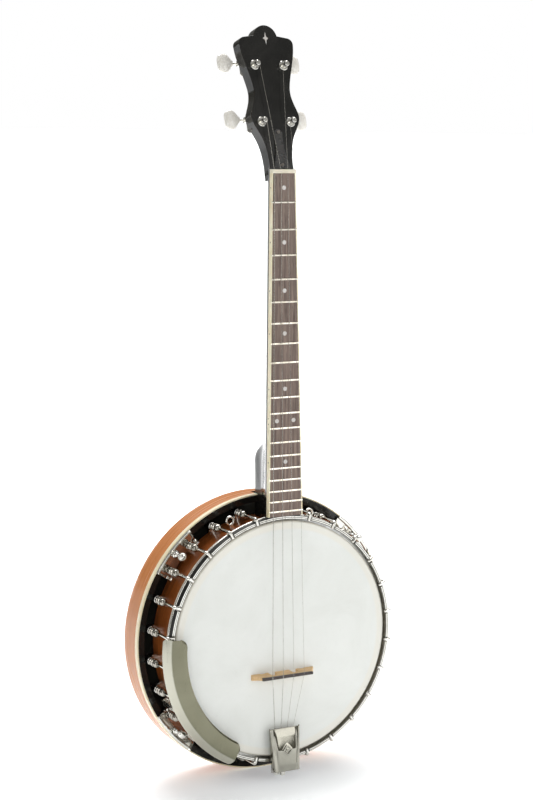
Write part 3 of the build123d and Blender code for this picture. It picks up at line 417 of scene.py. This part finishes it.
nickel = platedMetal("nickelPlate", plate["bright"], (0.72, 0.70, 0.64), 0.3, 0.07, 0.16)
# painted reflection: this nickel is darkened to stand for the dim surroundings it reflects, and its skirt
# colour is a painted highlight
agedNickelPaintedReflection = platedMetal("agedNickelPaintedReflection", (0.204, 0.199, 0.141), (0.18, 0.175, 0.122), 0.4, 0.10, 0.17, 22.0,
                         skirtHighlight=(0.50, 0.49, 0.41))
# painted shade: the lid's colour is darkened to stand for the dim surroundings its lower part reflects
lidNickel = platedMetal("lidNickel", (0.36, 0.35, 0.30), (0.30, 0.29, 0.25), 0.3, 0.05, 0.12, 30.0)
collarNickel = platedMetal("collarNickel", (0.50, 0.48, 0.43), (0.32, 0.30, 0.26), 0.5, 0.05, 0.12)
hoopNickel = ringedMetal()
steel = platedMetal("machinedSteel", (0.56, 0.55, 0.53), (0.38, 0.36, 0.33), 0.2, 0.28, 0.45)
aluminium = platedMetal("drawnAluminium", (0.80, 0.80, 0.80), (0.62, 0.62, 0.60), 0.2, 0.30, 0.45)
brass = platedMetal("wornBrass", (0.74, 0.55, 0.25), (0.42, 0.28, 0.12), 0.3, 0.2, 0.42)
fretMetal = platedMetal("fretWire", (0.84, 0.80, 0.72), (0.66, 0.60, 0.48), 0.3, 0.14, 0.3, 90.0)
darkSteel = platedMetal("blackenedSteel", (0.16, 0.15, 0.14), (0.09, 0.085, 0.08), 0.4, 0.3, 0.5)
stringMetal = platedMetal("stringSteel", (0.50, 0.49, 0.455), (0.36, 0.345, 0.315), 0.1, 0.16, 0.3, 200.0)
black = lacquerBlack()
cream = celluloid("creamBinding", (0.86, 0.80, 0.60), (0.74, 0.63, 0.40))
bone = celluloid("boneNut", (0.84, 0.79, 0.66), (0.70, 0.62, 0.46), 0.34)
pearl = pearlMaterial("pearlShell", (0.52, 0.54, 0.53), (0.60, 0.52, 0.47), 420.0)
buttonPearl = pearlMaterial("pearlPlastic", (0.93, 0.90, 0.83), (0.84, 0.80, 0.72), 190.0)
skin = headSkin()
rosewood = woodMaterial("rosewood", (1.0, 1.0, 0.03), 430.0, (0.36, 0.265, 0.215), (0.07, 0.045, 0.036),
                        (0.02, 0.012, 0.01), 0.15, 0.42, 0.0, 0.5)
rimWood = woodMaterial("rimWood", (0.10, 2.0, 0.10), 150.0, (0.50, 0.145, 0.028), (0.17, 0.042, 0.009),
                       (0.09, 0.025, 0.008), 0.3, 0.3, 0.35)
maple = woodMaterial("maple", (0.06, 1.0, 1.0), 330.0, (0.86, 0.62, 0.34), (0.66, 0.42, 0.19),
                     (0.42, 0.25, 0.1), 0.2, 0.4)
ebony = woodMaterial("ebony", (0.06, 1.0, 1.0), 420.0, (0.07, 0.052, 0.048), (0.022, 0.016, 0.015),
                     (0.01, 0.008, 0.008),
                     0.2, 0.32)
blackPlastic = celluloid("blackPlastic", (0.016, 0.016, 0.016), (0.03, 0.028, 0.026), 0.2)
veneer = resonatorWood()

finishes = {
    "rim": rimWood, "tone_ring": brass, "drum_head": skin, "flesh_hoop": aluminium,
    "tension_hoop": hoopNickel,
    "hook_bolts": nickel, "hook_nuts": nickel, "bracket_shoes": nickel, "shoe_screws": steel,
    "strap_lugs": nickel,
    "coordinator_rod": steel, "coordinator_nuts": steel, "resonator_shell": veneer,
    "resonator_binding": cream,
    "resonator_ledge": black, "wall_lugs": brass, "flange_plates": nickel, "armrest": agedNickelPaintedReflection,
    "armrest_legs": nickel, "armrest_screws": nickel, "tailpiece_base": nickel, "tailpiece_cover": agedNickelPaintedReflection,
    "tailpiece_pin": steel, "tailpiece_hanger": nickel, "tailpiece_bolt": steel, "tailpiece_nut": nickel,
    "bridge_feet": maple, "bridge_top": ebony, "neck": black, "fingerboard": rosewood,
    "fingerboard_binding": cream,
    "frets": fretMetal, "position_dots": pearl, "nut": bone, "truss_rod": steel,
    "truss_rod_cover": blackPlastic,
    "small_screws": darkSteel, "headstock_inlay": pearl, "tuner_plates": nickel, "tuner_bushings": nickel,
}
for number in fours:
    finishes[f"string_{number}"] = stringMetal
    finishes[f"thumb_screw_{number}"] = nickel
    finishes[f"worm_shaft_{number}"] = nickel
    finishes[f"tuner_button_{number}"] = buttonPearl
    finishes[f"tuner_post_{number}"] = nickel
for name, material in finishes.items():
    data = nodes[name].data
    data.materials.clear()
    data.materials.append(material)
print("finishes:", len(finishes))


cameraSet = dict(place=(-1.0639, -1.9622, 0.5599), azimuth=29.068, pitch=-7.389, roll=0.312, lens=85.28)


def buildCamera():
    data = bpy.data.cameras.new("camera")
    data.lens = cameraSet["lens"]
    data.sensor_width = 36.0
    camera = bpy.data.objects.new("camera", data)
    bpy.context.scene.collection.objects.link(camera)
    aim = Euler((math.radians(90 + cameraSet["pitch"]), 0, math.radians(-cameraSet["azimuth"]))).to_matrix()
    roll = Matrix.Rotation(math.radians(cameraSet["roll"]), 3, "Z")
    camera.matrix_world = Matrix.Translation(cameraSet["place"]) @ (aim @ roll).to_4x4()
    bpy.context.scene.camera = camera


studioSet = dict(half=6.0, wallBack=3.0, bend=0.8, ceiling=0.42, horizon=(0.17, 0.165, 0.14),
                 lights=(("keyLight", (-1.9, -3.1, 1.0), (0.0, 0.0, 0.2), 1.6, 20.0, 180.0),
                         ("sideLight", (1.35, -2.2, 0.95), (0.0, 0.0, -0.1), 1.45, 14.0, 180.0),
                         ("fillLight", (2.6, -1.5, 1.0), (0.0, 0.0, 0.15), 1.6, 7.0, 180.0),
                         ("backLight", (1.0, 2.1, 2.6), (1.0, 2.1, -0.17), 3.6, 150.0, 120.0)))


def paleFloor():
    material, tree, shader = newMaterial("paleFloor", Roughness=0.6, Emission_Strength=0.3)
    cloud = noiseValue(tree, scaledCoords(tree, (1, 1, 1)), 3.0)
    link(tree, mixColor(tree, cloud, (0.91, 0.91, 0.91), (0.94, 0.94, 0.94)), shader.inputs["Base Color"])
    link(tree, mixColor(tree, cloud, (0.90, 0.95, 1.0), (0.92, 0.97, 1.0)), shader.inputs["Emission Color"])
    return material


def buildStudio():
    scene = bpy.context.scene
    half = studioSet["half"]
    bend = studioSet["bend"]
    back = studioSet["wallBack"]
    profile = [(-half, floorZ)]
    for k in range(17):
        a = math.pi / 2 * k / 16
        profile.append((back + bend * math.sin(a), floorZ + bend * (1 - math.cos(a))))
    mesh = bmesh.new()
    rows = [[mesh.verts.new((x, y, z)) for y, z in profile] for x in (-half, half)]
    for k in range(len(profile) - 1):
        mesh.faces.new((rows[0][k], rows[1][k], rows[1][k + 1], rows[0][k + 1]))
    data = bpy.data.meshes.new("floor")
    mesh.to_mesh(data)
    data.shade_smooth()
    data.materials.append(paleFloor())
    floor = bpy.data.objects.new("floor", data)
    scene.collection.objects.link(floor)
    for name, spot, target, size, power, spread in studioSet["lights"]:
        lamp = bpy.data.lights.new(name, "AREA")
        lamp.shape = "SQUARE"
        lamp.size = size
        lamp.energy = power
        lamp.spread = math.radians(spread)
        thing = bpy.data.objects.new(name, lamp)
        scene.collection.objects.link(thing)
        thing.location = spot
        thing.rotation_euler = (Vector(target) - Vector(spot)).to_track_quat("-Z", "Y").to_euler()
    world = bpy.data.worlds.new("studio")
    scene.world = world
    world.use_nodes = True
    tree = world.node_tree
    background = tree.nodes["Background"]
    split = addNode(tree, "ShaderNodeSeparateXYZ")
    link(tree, addNode(tree, "ShaderNodeTexCoord").outputs["Generated"], split.inputs[0])
    rise = remap(tree, split.outputs["Z"], 0.12, 0.75)
    sky = mixColor(tree, rise, studioSet["horizon"], (studioSet["ceiling"],) * 3)
    seen = addNode(tree, "ShaderNodeLightPath").outputs["Is Camera Ray"]
    link(tree, mixColor(tree, seen, sky, (1.0, 1.0, 1.0)), background.inputs["Color"])
    scene.view_settings.view_transform = "Standard"
    scene.view_settings.look = "None"


buildCamera()
buildStudio()
print("studio and camera set")


def addPiece(name, verts, faces, material, body, smooth=True):
    data = bpy.data.meshes.new(name)
    data.from_pydata([tuple(v) for v in verts], [], faces)
    data.validate()
    if smooth:
        data.shade_smooth()
    data.materials.append(material)
    piece = bpy.data.objects.new(name, data)
    bpy.context.scene.collection.objects.link(piece)
    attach(piece, body)
    return piece


def addBevel(piece, width):
    bevel = piece.modifiers.new("edges", "BEVEL")
    bevel.width = width * mm
    bevel.segments = 2
    return bevel


def addSheet(piece, thickness):
    sheet = piece.modifiers.new("sheet", "SOLIDIFY")
    sheet.thickness = thickness * mm
    sheet.offset = -1.0


def gridFaces(rows, columns, closed=True):
    # quads between rows of points; closed joins the last column to the first
    faces = []
    last = columns if closed else columns - 1
    for i in range(rows - 1):
        for j in range(last):
            k = (j + 1) % columns
            faces.append((i * columns + j, i * columns + k, (i + 1) * columns + k, (i + 1) * columns + j))
    return faces


def capped(rows, columns):
    return gridFaces(rows, columns) + [tuple(range(columns))[::-1],
                                       tuple((rows - 1) * columns + j for j in range(columns))]


def axes(along):
    # two directions square to a given one
    along = Vector(along).normalized()
    side = along.orthogonal().normalized()
    return along, side, along.cross(side)


def turned(name, start, along, profile, material, body, sides=48, wave=None):
    # a turned piece: profile holds (distance along, radius); wave changes the radius round the axis
    along, u, v = axes(along)
    verts = []
    for step, (distance, radius) in enumerate(profile):
        for j in range(sides):
            a = 2 * math.pi * j / sides
            r = radius + (wave(step, a) if wave else 0.0)
            verts.append(Vector(start) + along * distance + (u * math.cos(a) + v * math.sin(a)) * r)
    return addPiece(name, verts, capped(len(profile), sides), material, body)


def wireTube(points, radius, sides=10):
    # points and faces of a round wire along a line of points
    verts, count = [], len(points)
    side = None
    for i, point in enumerate(points):
        ahead = (points[min(i + 1, count - 1)] - points[max(i - 1, 0)]).normalized()
        side = ahead.orthogonal() if side is None else side - ahead * side.dot(ahead)
        side = side.normalized()
        other = ahead.cross(side)
        for j in range(sides):
            a = 2 * math.pi * j / sides
            verts.append(point + (side * math.cos(a) + other * math.sin(a)) * radius)
    return verts, capped(count, sides)


def merged(parts):
    verts, faces = [], []
    for some, quads in parts:
        base = len(verts)
        verts += some
        faces += [tuple(base + k for k in face) for face in quads]
    return verts, faces


def posts():
    # number, joint of the button, joint of the post, face normal, way to the tip
    for number in fours:
        button = joints[f"tuner_button_{number}_turn"]
        post = joints[f"tuner_post_{number}_turn"]
        normal = Vector(post["axis"]).normalized()
        tip = Vector((0, normal.z, -normal.y))
        yield number, Vector(button["pos_m"]), Vector(post["pos_m"]), normal, tip


windingSet = dict(radii=(0.38, 0.18, 0.30, 0.24), turns=(3.2, 3.6, 3.4, 3.6), waist=2.4, height=4.4, steps=26,
                  pitch=2.05, sink=1.0)


def buildWindings():
    # each string's last turns lie on its post's waist and turn with it
    for number, worm, post, normal, tip in posts():
        r = windingSet["radii"][number - 1] * mm
        u = Vector((1, 0, 0))
        reach = windingSet["waist"] * mm + r
        points = []
        total = int(windingSet["turns"][number - 1] * windingSet["steps"])
        side = 1 if post.x > 0 else -1
        for k in range(total + 1):
            a = 2 * math.pi * k / windingSet["steps"]
            climb = windingSet["pitch"] * r * a / (2 * math.pi)
            lift = (windingSet["height"] * mm + climb) - windingSet["sink"] * mm
            points.append(post + (u * -side * math.cos(a) + tip * math.sin(a)) * reach + normal * lift)
        points.append(points[-1] + (post - points[-1] + normal * (points[-1] - post).dot(normal)) * 0.5)
        verts, faces = wireTube(points, r)
        addPiece(f"winding{number}", verts, faces, stringMetal, f"post_{number}")


buttonSet = dict(outline=((0.0, 3.3, 3.3), (0.07, 3.5, 3.4), (0.15, 5.2, 3.6), (0.26, 8.6, 3.9),
                          (0.38, 10.8, 4.2),
                          (0.52, 11.5, 4.45), (0.68, 11.4, 4.4), (0.80, 10.6, 4.1), (0.90, 9.2, 3.6),
                          (0.96, 7.9, 2.9), (1.0, 5.6, 1.6)), sides=40, square=2.5)


def buildButtons():
    # rounded pearl buttons: width and thickness change along the shaft
    for number, worm, post, normal, tip in posts():
        low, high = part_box(f"tuner_button_{number}")
        side = 1 if worm.x > 0 else -1
        inner = low.x if side > 0 else high.x
        length = high.x - low.x
        power = 2.0 / buttonSet["square"]
        verts = []
        for share, half, thick in buttonSet["outline"]:
            for j in range(buttonSet["sides"]):
                a = 2 * math.pi * j / buttonSet["sides"]
                c, s = math.cos(a), math.sin(a)
                across = math.copysign(abs(c) ** power, c) * half * mm
                deep = math.copysign(abs(s) ** power, s) * thick * mm
                centre = Vector((inner + side * share * length, worm.y, worm.z))
                verts.append(centre + tip * across + normal * deep)
        piece = addPiece(f"pearlButton{number}", verts, capped(len(buttonSet["outline"]), buttonSet["sides"]),
                         buttonPearl, f"worm_{number}")
        addSmoothing(piece, 1)
        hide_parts(f"tuner_button_{number}")


def addSmoothing(piece, levels):
    modifier = piece.modifiers.new("smooth", "SUBSURF")
    modifier.levels = levels
    modifier.render_levels = levels


thumbSet = dict(flutes=20, flute=0.22, knob=4.7, stem=1.9, collar=3.3)


def buildThumbScrews():
    # fluted knobs on a waisted stem, with a washer and a nut at the plate
    for number in fours:
        low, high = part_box(f"thumb_screw_{number}")
        joint = joints[f"thumb_screw_{number}_turn"]
        x, z = joint["pos_m"][0], joint["pos_m"][2]
        top = low.y
        knob = thumbSet["knob"]
        stem = thumbSet["stem"]
        profile = [(0.0, 0.6), (0.15, 2.6), (0.5, 3.6), (0.9, 4.2), (1.5, knob), (2.2, knob), (5.0, knob),
                   (5.7, knob),
                   (6.3, 4.1), (6.8, 3.4), (7.1, stem + 0.4), (8.0, stem), (12.0, stem), (14.8, stem),
                   (15.2, 2.5),
                   (15.6, thumbSet["collar"]), (18.3, thumbSet["collar"]), (18.6, 3.5), (18.9, 4.5),
                   (20.1, 4.6),
                   (20.3, 4.3), (20.45, 2.4)]
        depth = (high.y - low.y) / mm
        profile.append((depth, 2.35))
        rings = [(distance * mm, radius * mm) for distance, radius in profile]

        def flutes(step, a):
            return thumbSet["flute"] * mm * math.cos(a * thumbSet["flutes"]) if 4 <= step <= 7 else 0.0

        piece = turned(f"thumbScrew{number}", (x, top, z), (0, 1, 0), rings, nickel,
                       f"thumb_screw_{number}",
                       sides=80, wave=flutes)
        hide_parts(f"thumb_screw_{number}")


armSet = dict(start=83.0, end=153.0, inner=129.0, fold=147.2, outer=155.5, high=99.2, low=91.5, sheet=1.2,
              corner=9.0,
              trim=2.2, steps=72,
              profile=[(0.0, 0.35), (0.012, 0.0), (0.03, 0.0), (0.2, 0.0), (0.45, 0.0), (0.62, 0.0),
                       (0.70, 0.05), (0.745, 0.35), (0.785, 1.05), (0.83, 2.15), (0.88, 3.6), (0.94, 5.5),
                       (0.985, 7.0), (1.0, 7.7)])


def buildArmrest():
    # one pressed sheet: flat towards the strings, a soft fold, then a skirt outside the hoop
    low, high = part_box("armrest")
    front = low.y
    depth = (armSet["high"] - armSet["low"]) * mm
    across = armSet["outer"] - armSet["fold"]
    profile = armSet["profile"]
    span = (armSet["outer"] - armSet["inner"])
    verts = []
    rows = armSet["steps"] + 1
    for i in range(rows):
        share = i / armSet["steps"]
        share = 0.5 - 0.5 * math.cos(math.pi * share)  # closer rows near the two rounded ends
        degrees = armSet["start"] + (armSet["end"] - armSet["start"]) * share
        gap = min(degrees - armSet["start"], armSet["end"] - degrees) * math.pi / 180 * armSet["inner"]
        inset = 0.0
        if gap < armSet["corner"]:
            inset = armSet["corner"] - math.sqrt(max(armSet["corner"] ** 2 - (armSet["corner"] - gap) ** 2,
                                                     0.0))
        trim = 0.0
        if gap < armSet["trim"]:
            trim = armSet["trim"] - math.sqrt(max(armSet["trim"] ** 2 - (armSet["trim"] - gap) ** 2, 0.0))
        inner = armSet["inner"] + inset
        outer = armSet["outer"] - trim
        for part, drop in profile:
            r = inner + (outer - inner) * part
            base = (r - armSet["inner"]) / span
            fall = dropAt(profile, base) if part > 0.02 else 0.35
            verts.append(potPoint(r * mm, degrees, front + min(fall * mm, depth)))
    piece = addPiece("armrestSheet", verts, [f[::-1] for f in gridFaces(rows, len(profile), closed=False)],
                     agedNickelPaintedReflection,
                     "banjo")
    addSheet(piece, armSet["sheet"])
    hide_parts("armrest")


def dropAt(profile, part):
    for (a, x), (b, y) in zip(profile[1:], profile[2:]):
        if part <= b:
            return x + (y - x) * max(part - a, 0.0) / (b - a)
    return profile[-1][1]


sideDotSet = dict(frets=(1, 3, 5, 7, 10, 12, 15), scale=580.0, tilt=1.37, radius=0.75, drop=2.6, pair=3.2,
                  nutHalf=15.5, sides=14, octave=12)


def buildSideDots():
    # small dark dots let into the edge of the binding that faces the player
    low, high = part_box("fingerboard_binding")
    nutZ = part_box("nut")[0].z
    tilt = math.radians(sideDotSet["tilt"])
    frontEnd = low.y
    length = nutZ - low.z
    nutHalf = sideDotSet["nutHalf"] * mm
    endHalf = high.x
    parts = []
    for fret in sideDotSet["frets"]:
        middle = sideDotSet["scale"] * (2 - 2 ** (-fret / 12) - 2 ** (-(fret - 1) / 12)) / 2 * mm
        shifts = (-sideDotSet["pair"], sideDotSet["pair"]) if fret == sideDotSet["octave"] else (0.0,)
        for shift in shifts:
            z = nutZ - middle + shift * mm
            share = (nutZ - z) / length
            x = -(nutHalf + (endHalf - nutHalf) * share)
            y = frontEnd + (z - low.z) * math.tan(tilt) + sideDotSet["drop"] * mm
            ring = []
            for distance, radius in ((-0.5, sideDotSet["radius"]), (0.03, sideDotSet["radius"]), (0.06, 0.3)):
                for j in range(sideDotSet["sides"]):
                    a = 2 * math.pi * j / sideDotSet["sides"]
                    across, up = radius * mm * math.cos(a), radius * mm * math.sin(a)
                    ring.append(Vector((x - distance * mm, y + across, z + up)))
            parts.append((ring, capped(3, sideDotSet["sides"])))
    verts, faces = merged(parts)
    addPiece("sideDots", verts, faces, blackPlastic, "banjo")


tailSet = dict(pinY=-154.0, noseY=-104.5, back=16.5, nose=20.0, backZ=104.5, noseZ=97.0, low=94.3, edge=1.5,
               border=3.0,
               step=0.5, crown=0.6, bow=2.9, ridge=0.005, sheet=1.0, rows=60, columns=40, leaf=(6.5, 6.5),
               leafRise=0.5, pinZ=98.0, ear=3.5)


def smooth(low, high, value):
    t = min(max((value - low) / (high - low), 0.0), 1.0)
    return t * t * (3 - 2 * t)


def tailSection(share):
    # half of the lid's section and its mirror, as (x, height) from one wall's foot to the other's
    half = tailSet["back"] + (tailSet["nose"] - tailSet["back"]) * share
    top = tailSet["backZ"] + (tailSet["noseZ"] - tailSet["backZ"]) * share
    edge = tailSet["edge"]
    left = [(-half, tailSet["low"]), (-half, (tailSet["low"] + top) / 2), (-half, top - edge)]
    left += [(-half + edge * (1 - math.cos(a)), top - edge * (1 - math.sin(a)))
             for a in (0.4, 0.8, 1.2, 1.57)]
    left += [(-half + tailSet["border"], top), (-half + tailSet["border"] + 0.7, top - tailSet["step"])]
    inner = half - tailSet["border"] - 0.7
    lift = smooth(0.03, 0.18, share) * smooth(0.97, 0.82, share)
    panel = []
    for k in range(1, tailSet["columns"]):
        x = -inner + 2 * inner * k / tailSet["columns"]
        peak = 1 - math.sqrt((2 * share - 1.0) ** 2 + tailSet["ridge"])
        bow = tailSet["bow"] * max(peak, 0.0) * smooth(1.0, 0.8, abs(x) / inner)
        z = top - tailSet["step"] + bow + tailSet["crown"] * lift * (1 - (x / inner) ** 4)
        along = (share - 0.5) * 50.0
        leaf = abs(x) / tailSet["leaf"][0] + abs(along) / tailSet["leaf"][1]
        ridge = smooth(0.22, 0.10, abs(leaf - 0.85)) + smooth(0.40, 0.24, leaf)
        panel.append((x, z + tailSet["leafRise"] * ridge))
    return left + panel + [(-x, z) for x, z in reversed(left)]


def buildTailpieceLid():
    # a pressed lid: flat border, crowned panel with a plain leaf, walls that carry the hinge
    verts, rows = [], tailSet["rows"] + 1
    for i in range(rows):
        share = i / tailSet["rows"]
        station = tailSet["pinY"] - 1.0 + (tailSet["noseY"] - tailSet["pinY"] + 1.0) * share
        section = tailSection(share)
        verts += [Vector((x, -z, station)) * mm for x, z in section]
    faces = gridFaces(rows, len(section), closed=False)
    piece = addPiece("tailpieceLid", verts, faces, lidNickel, "tailpiece_lid")
    addSheet(piece, tailSet["sheet"])
    for side in (-1, 1):
        start = Vector((side * (tailSet["back"] - 1.2), -tailSet["pinZ"], tailSet["pinY"])) * mm
        profile = [(0.0, 1.6), (0.0, tailSet["ear"] - 0.2), (0.15, tailSet["ear"]), (1.0, tailSet["ear"]),
                   (1.15, tailSet["ear"] - 0.2), (1.15, 1.6)]
        turned(f"lidEar{'Left' if side < 0 else 'Right'}", start, (side, 0, 0),
               [(a * mm, r * mm) for a, r in profile], nickel, "tailpiece_lid", sides=32)
    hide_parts("tailpiece_cover")


traySet = dict(half=10.8, columns=28, inner=145.2, dip=43.4, ledge=156.2, outer=165.4, floor=46.0, lip=49.4,
               sheet=1.1,
               lipSheet=3.4, arm=1.6, edge=0.15, curlInset=0.7, dipRun=3.0, dipFall=1.0,
               curl=((151.5, 47.3), (148.6, 47.5), (146.0, 48.0), (144.9, 49.0), (144.7, 50.4),
                                            (145.6, 51.5), (147.0, 51.7), (148.0, 50.9)), curlWidth=3.6)


def buildFlangeTrays():
    # pressed trays: the floor dips towards the rim, the outer edge stands up
    # and both end arms roll back at their tips
    trayParts, curlParts = [], []
    floor, sheet = traySet["floor"], traySet["sheet"]
    outer, lip = traySet["outer"], traySet["lipSheet"]
    top = [(traySet["inner"], traySet["dip"] + sheet),
           (traySet["ledge"] - traySet["dipRun"], floor + sheet - traySet["dipFall"]),
           (traySet["ledge"], floor + sheet), (outer - lip - 1.2, floor + sheet),
           (outer - lip - 0.3, floor + sheet + 0.3),
           (outer - lip, floor + sheet + 1.2), (outer - lip, traySet["lip"]), (outer, traySet["lip"])]
    profile = top + [(outer, floor), (traySet["ledge"], floor),
                     (traySet["ledge"] - traySet["dipRun"], floor - traySet["dipFall"]),
                     (traySet["inner"], traySet["dip"])]
    for number in fours:
        x, y, z = joints[f"thumb_screw_{number}_turn"]["pos_m"]
        middle = math.degrees(math.atan2(-x, z))
        verts = []
        for k in range(traySet["columns"] + 1):
            angle = middle + traySet["half"] * (2 * k / traySet["columns"] - 1)
            rise = traySet["arm"] * smooth(0.93, 0.98, abs(2 * k / traySet["columns"] - 1))
            verts += [potPoint(r * mm, angle, -(h + rise * (h > floor + 0.2)) * mm) for r, h in profile]
        trayParts.append((verts, capped(traySet["columns"] + 1, len(profile))))
        for side in (-1, 1):
            verts = []
            for radius, height in traySet["curl"]:
                for across, lift in ((-0.5, 0.0), (0.5, 0.0), (0.5, 0.6), (-0.5, 0.6)):
                    spread = math.degrees(across * traySet["curlWidth"] / radius)
                    swing = side * (traySet["half"] - traySet["curlInset"]) + spread
                    verts.append(potPoint(radius * mm, middle + swing, -(height + lift) * mm))
            curlParts.append((verts, capped(len(traySet["curl"]), 4)))
    for name, pieces in (("flangeTrays", trayParts), ("flangeCurls", curlParts)):
        verts, faces = merged(pieces)
        piece = addPiece(name, verts, faces, nickel, "banjo")
        addBevel(piece, traySet["edge"])
        if name == "flangeTrays":
            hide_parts("flange_plates")


collarSet = dict(places=26, skip=(0, 13), radius=149.3, sides=20, edge=0.3,
                 profile=((47.4, 2.6), (47.6, 4.3), (49.0, 4.4), (49.6, 3.0), (52.4, 2.8), (53.0, 4.7),
                          (54.6, 5.0),
                          (55.2, 3.4), (57.0, 3.3), (57.6, 4.6), (59.4, 4.9), (61.4, 4.5), (62.8, 3.4),
                          (63.4, 2.1)))


def buildCollars():
    # the stacked collar and dome each hook goes through above its shoe
    parts = []
    for step in range(collarSet["places"]):
        if step in collarSet["skip"]:
            continue
        middle = potPoint(collarSet["radius"] * mm, 360.0 * step / collarSet["places"], 0.0)
        verts = []
        for height, radius in collarSet["profile"]:
            for k in range(collarSet["sides"]):
                a = 2 * math.pi * k / collarSet["sides"]
                verts.append(middle + Vector((radius * math.cos(a), -height, radius * math.sin(a))) * mm)
        parts.append((verts, capped(len(collarSet["profile"]), collarSet["sides"])))
    verts, faces = merged(parts)
    piece = addPiece("hookCollars", verts, faces, collarNickel, "banjo")
    addBevel(piece, collarSet["edge"]).limit_method = "ANGLE"


beadSet = dict(radius=145.75, height=83.2, bead=0.95, around=360, across=12)


def buildHoopBead():
    # the rolled bead along the hoop's lower edge
    verts = []
    for i in range(beadSet["around"]):
        for j in range(beadSet["across"]):
            a = 2 * math.pi * j / beadSet["across"]
            radius = beadSet["radius"] + beadSet["bead"] * math.cos(a)
            height = beadSet["height"] + beadSet["bead"] * 1.3 * math.sin(a)
            verts.append(potPoint(radius * mm, 360.0 * i / beadSet["around"], -height * mm))
    n, m = beadSet["around"], beadSet["across"]
    faces = [(i * m + j, i * m + (j + 1) % m, (i + 1) % n * m + (j + 1) % m, (i + 1) % n * m + j)
             for i in range(n) for j in range(m)]
    addPiece("hoopBead", verts, faces, nickel, "banjo")


buildWindings()
buildTailpieceLid()
buildFlangeTrays()
buildCollars()
buildHoopBead()
buildButtons()
buildThumbScrews()
buildArmrest()
buildSideDots()
print("fittings built")
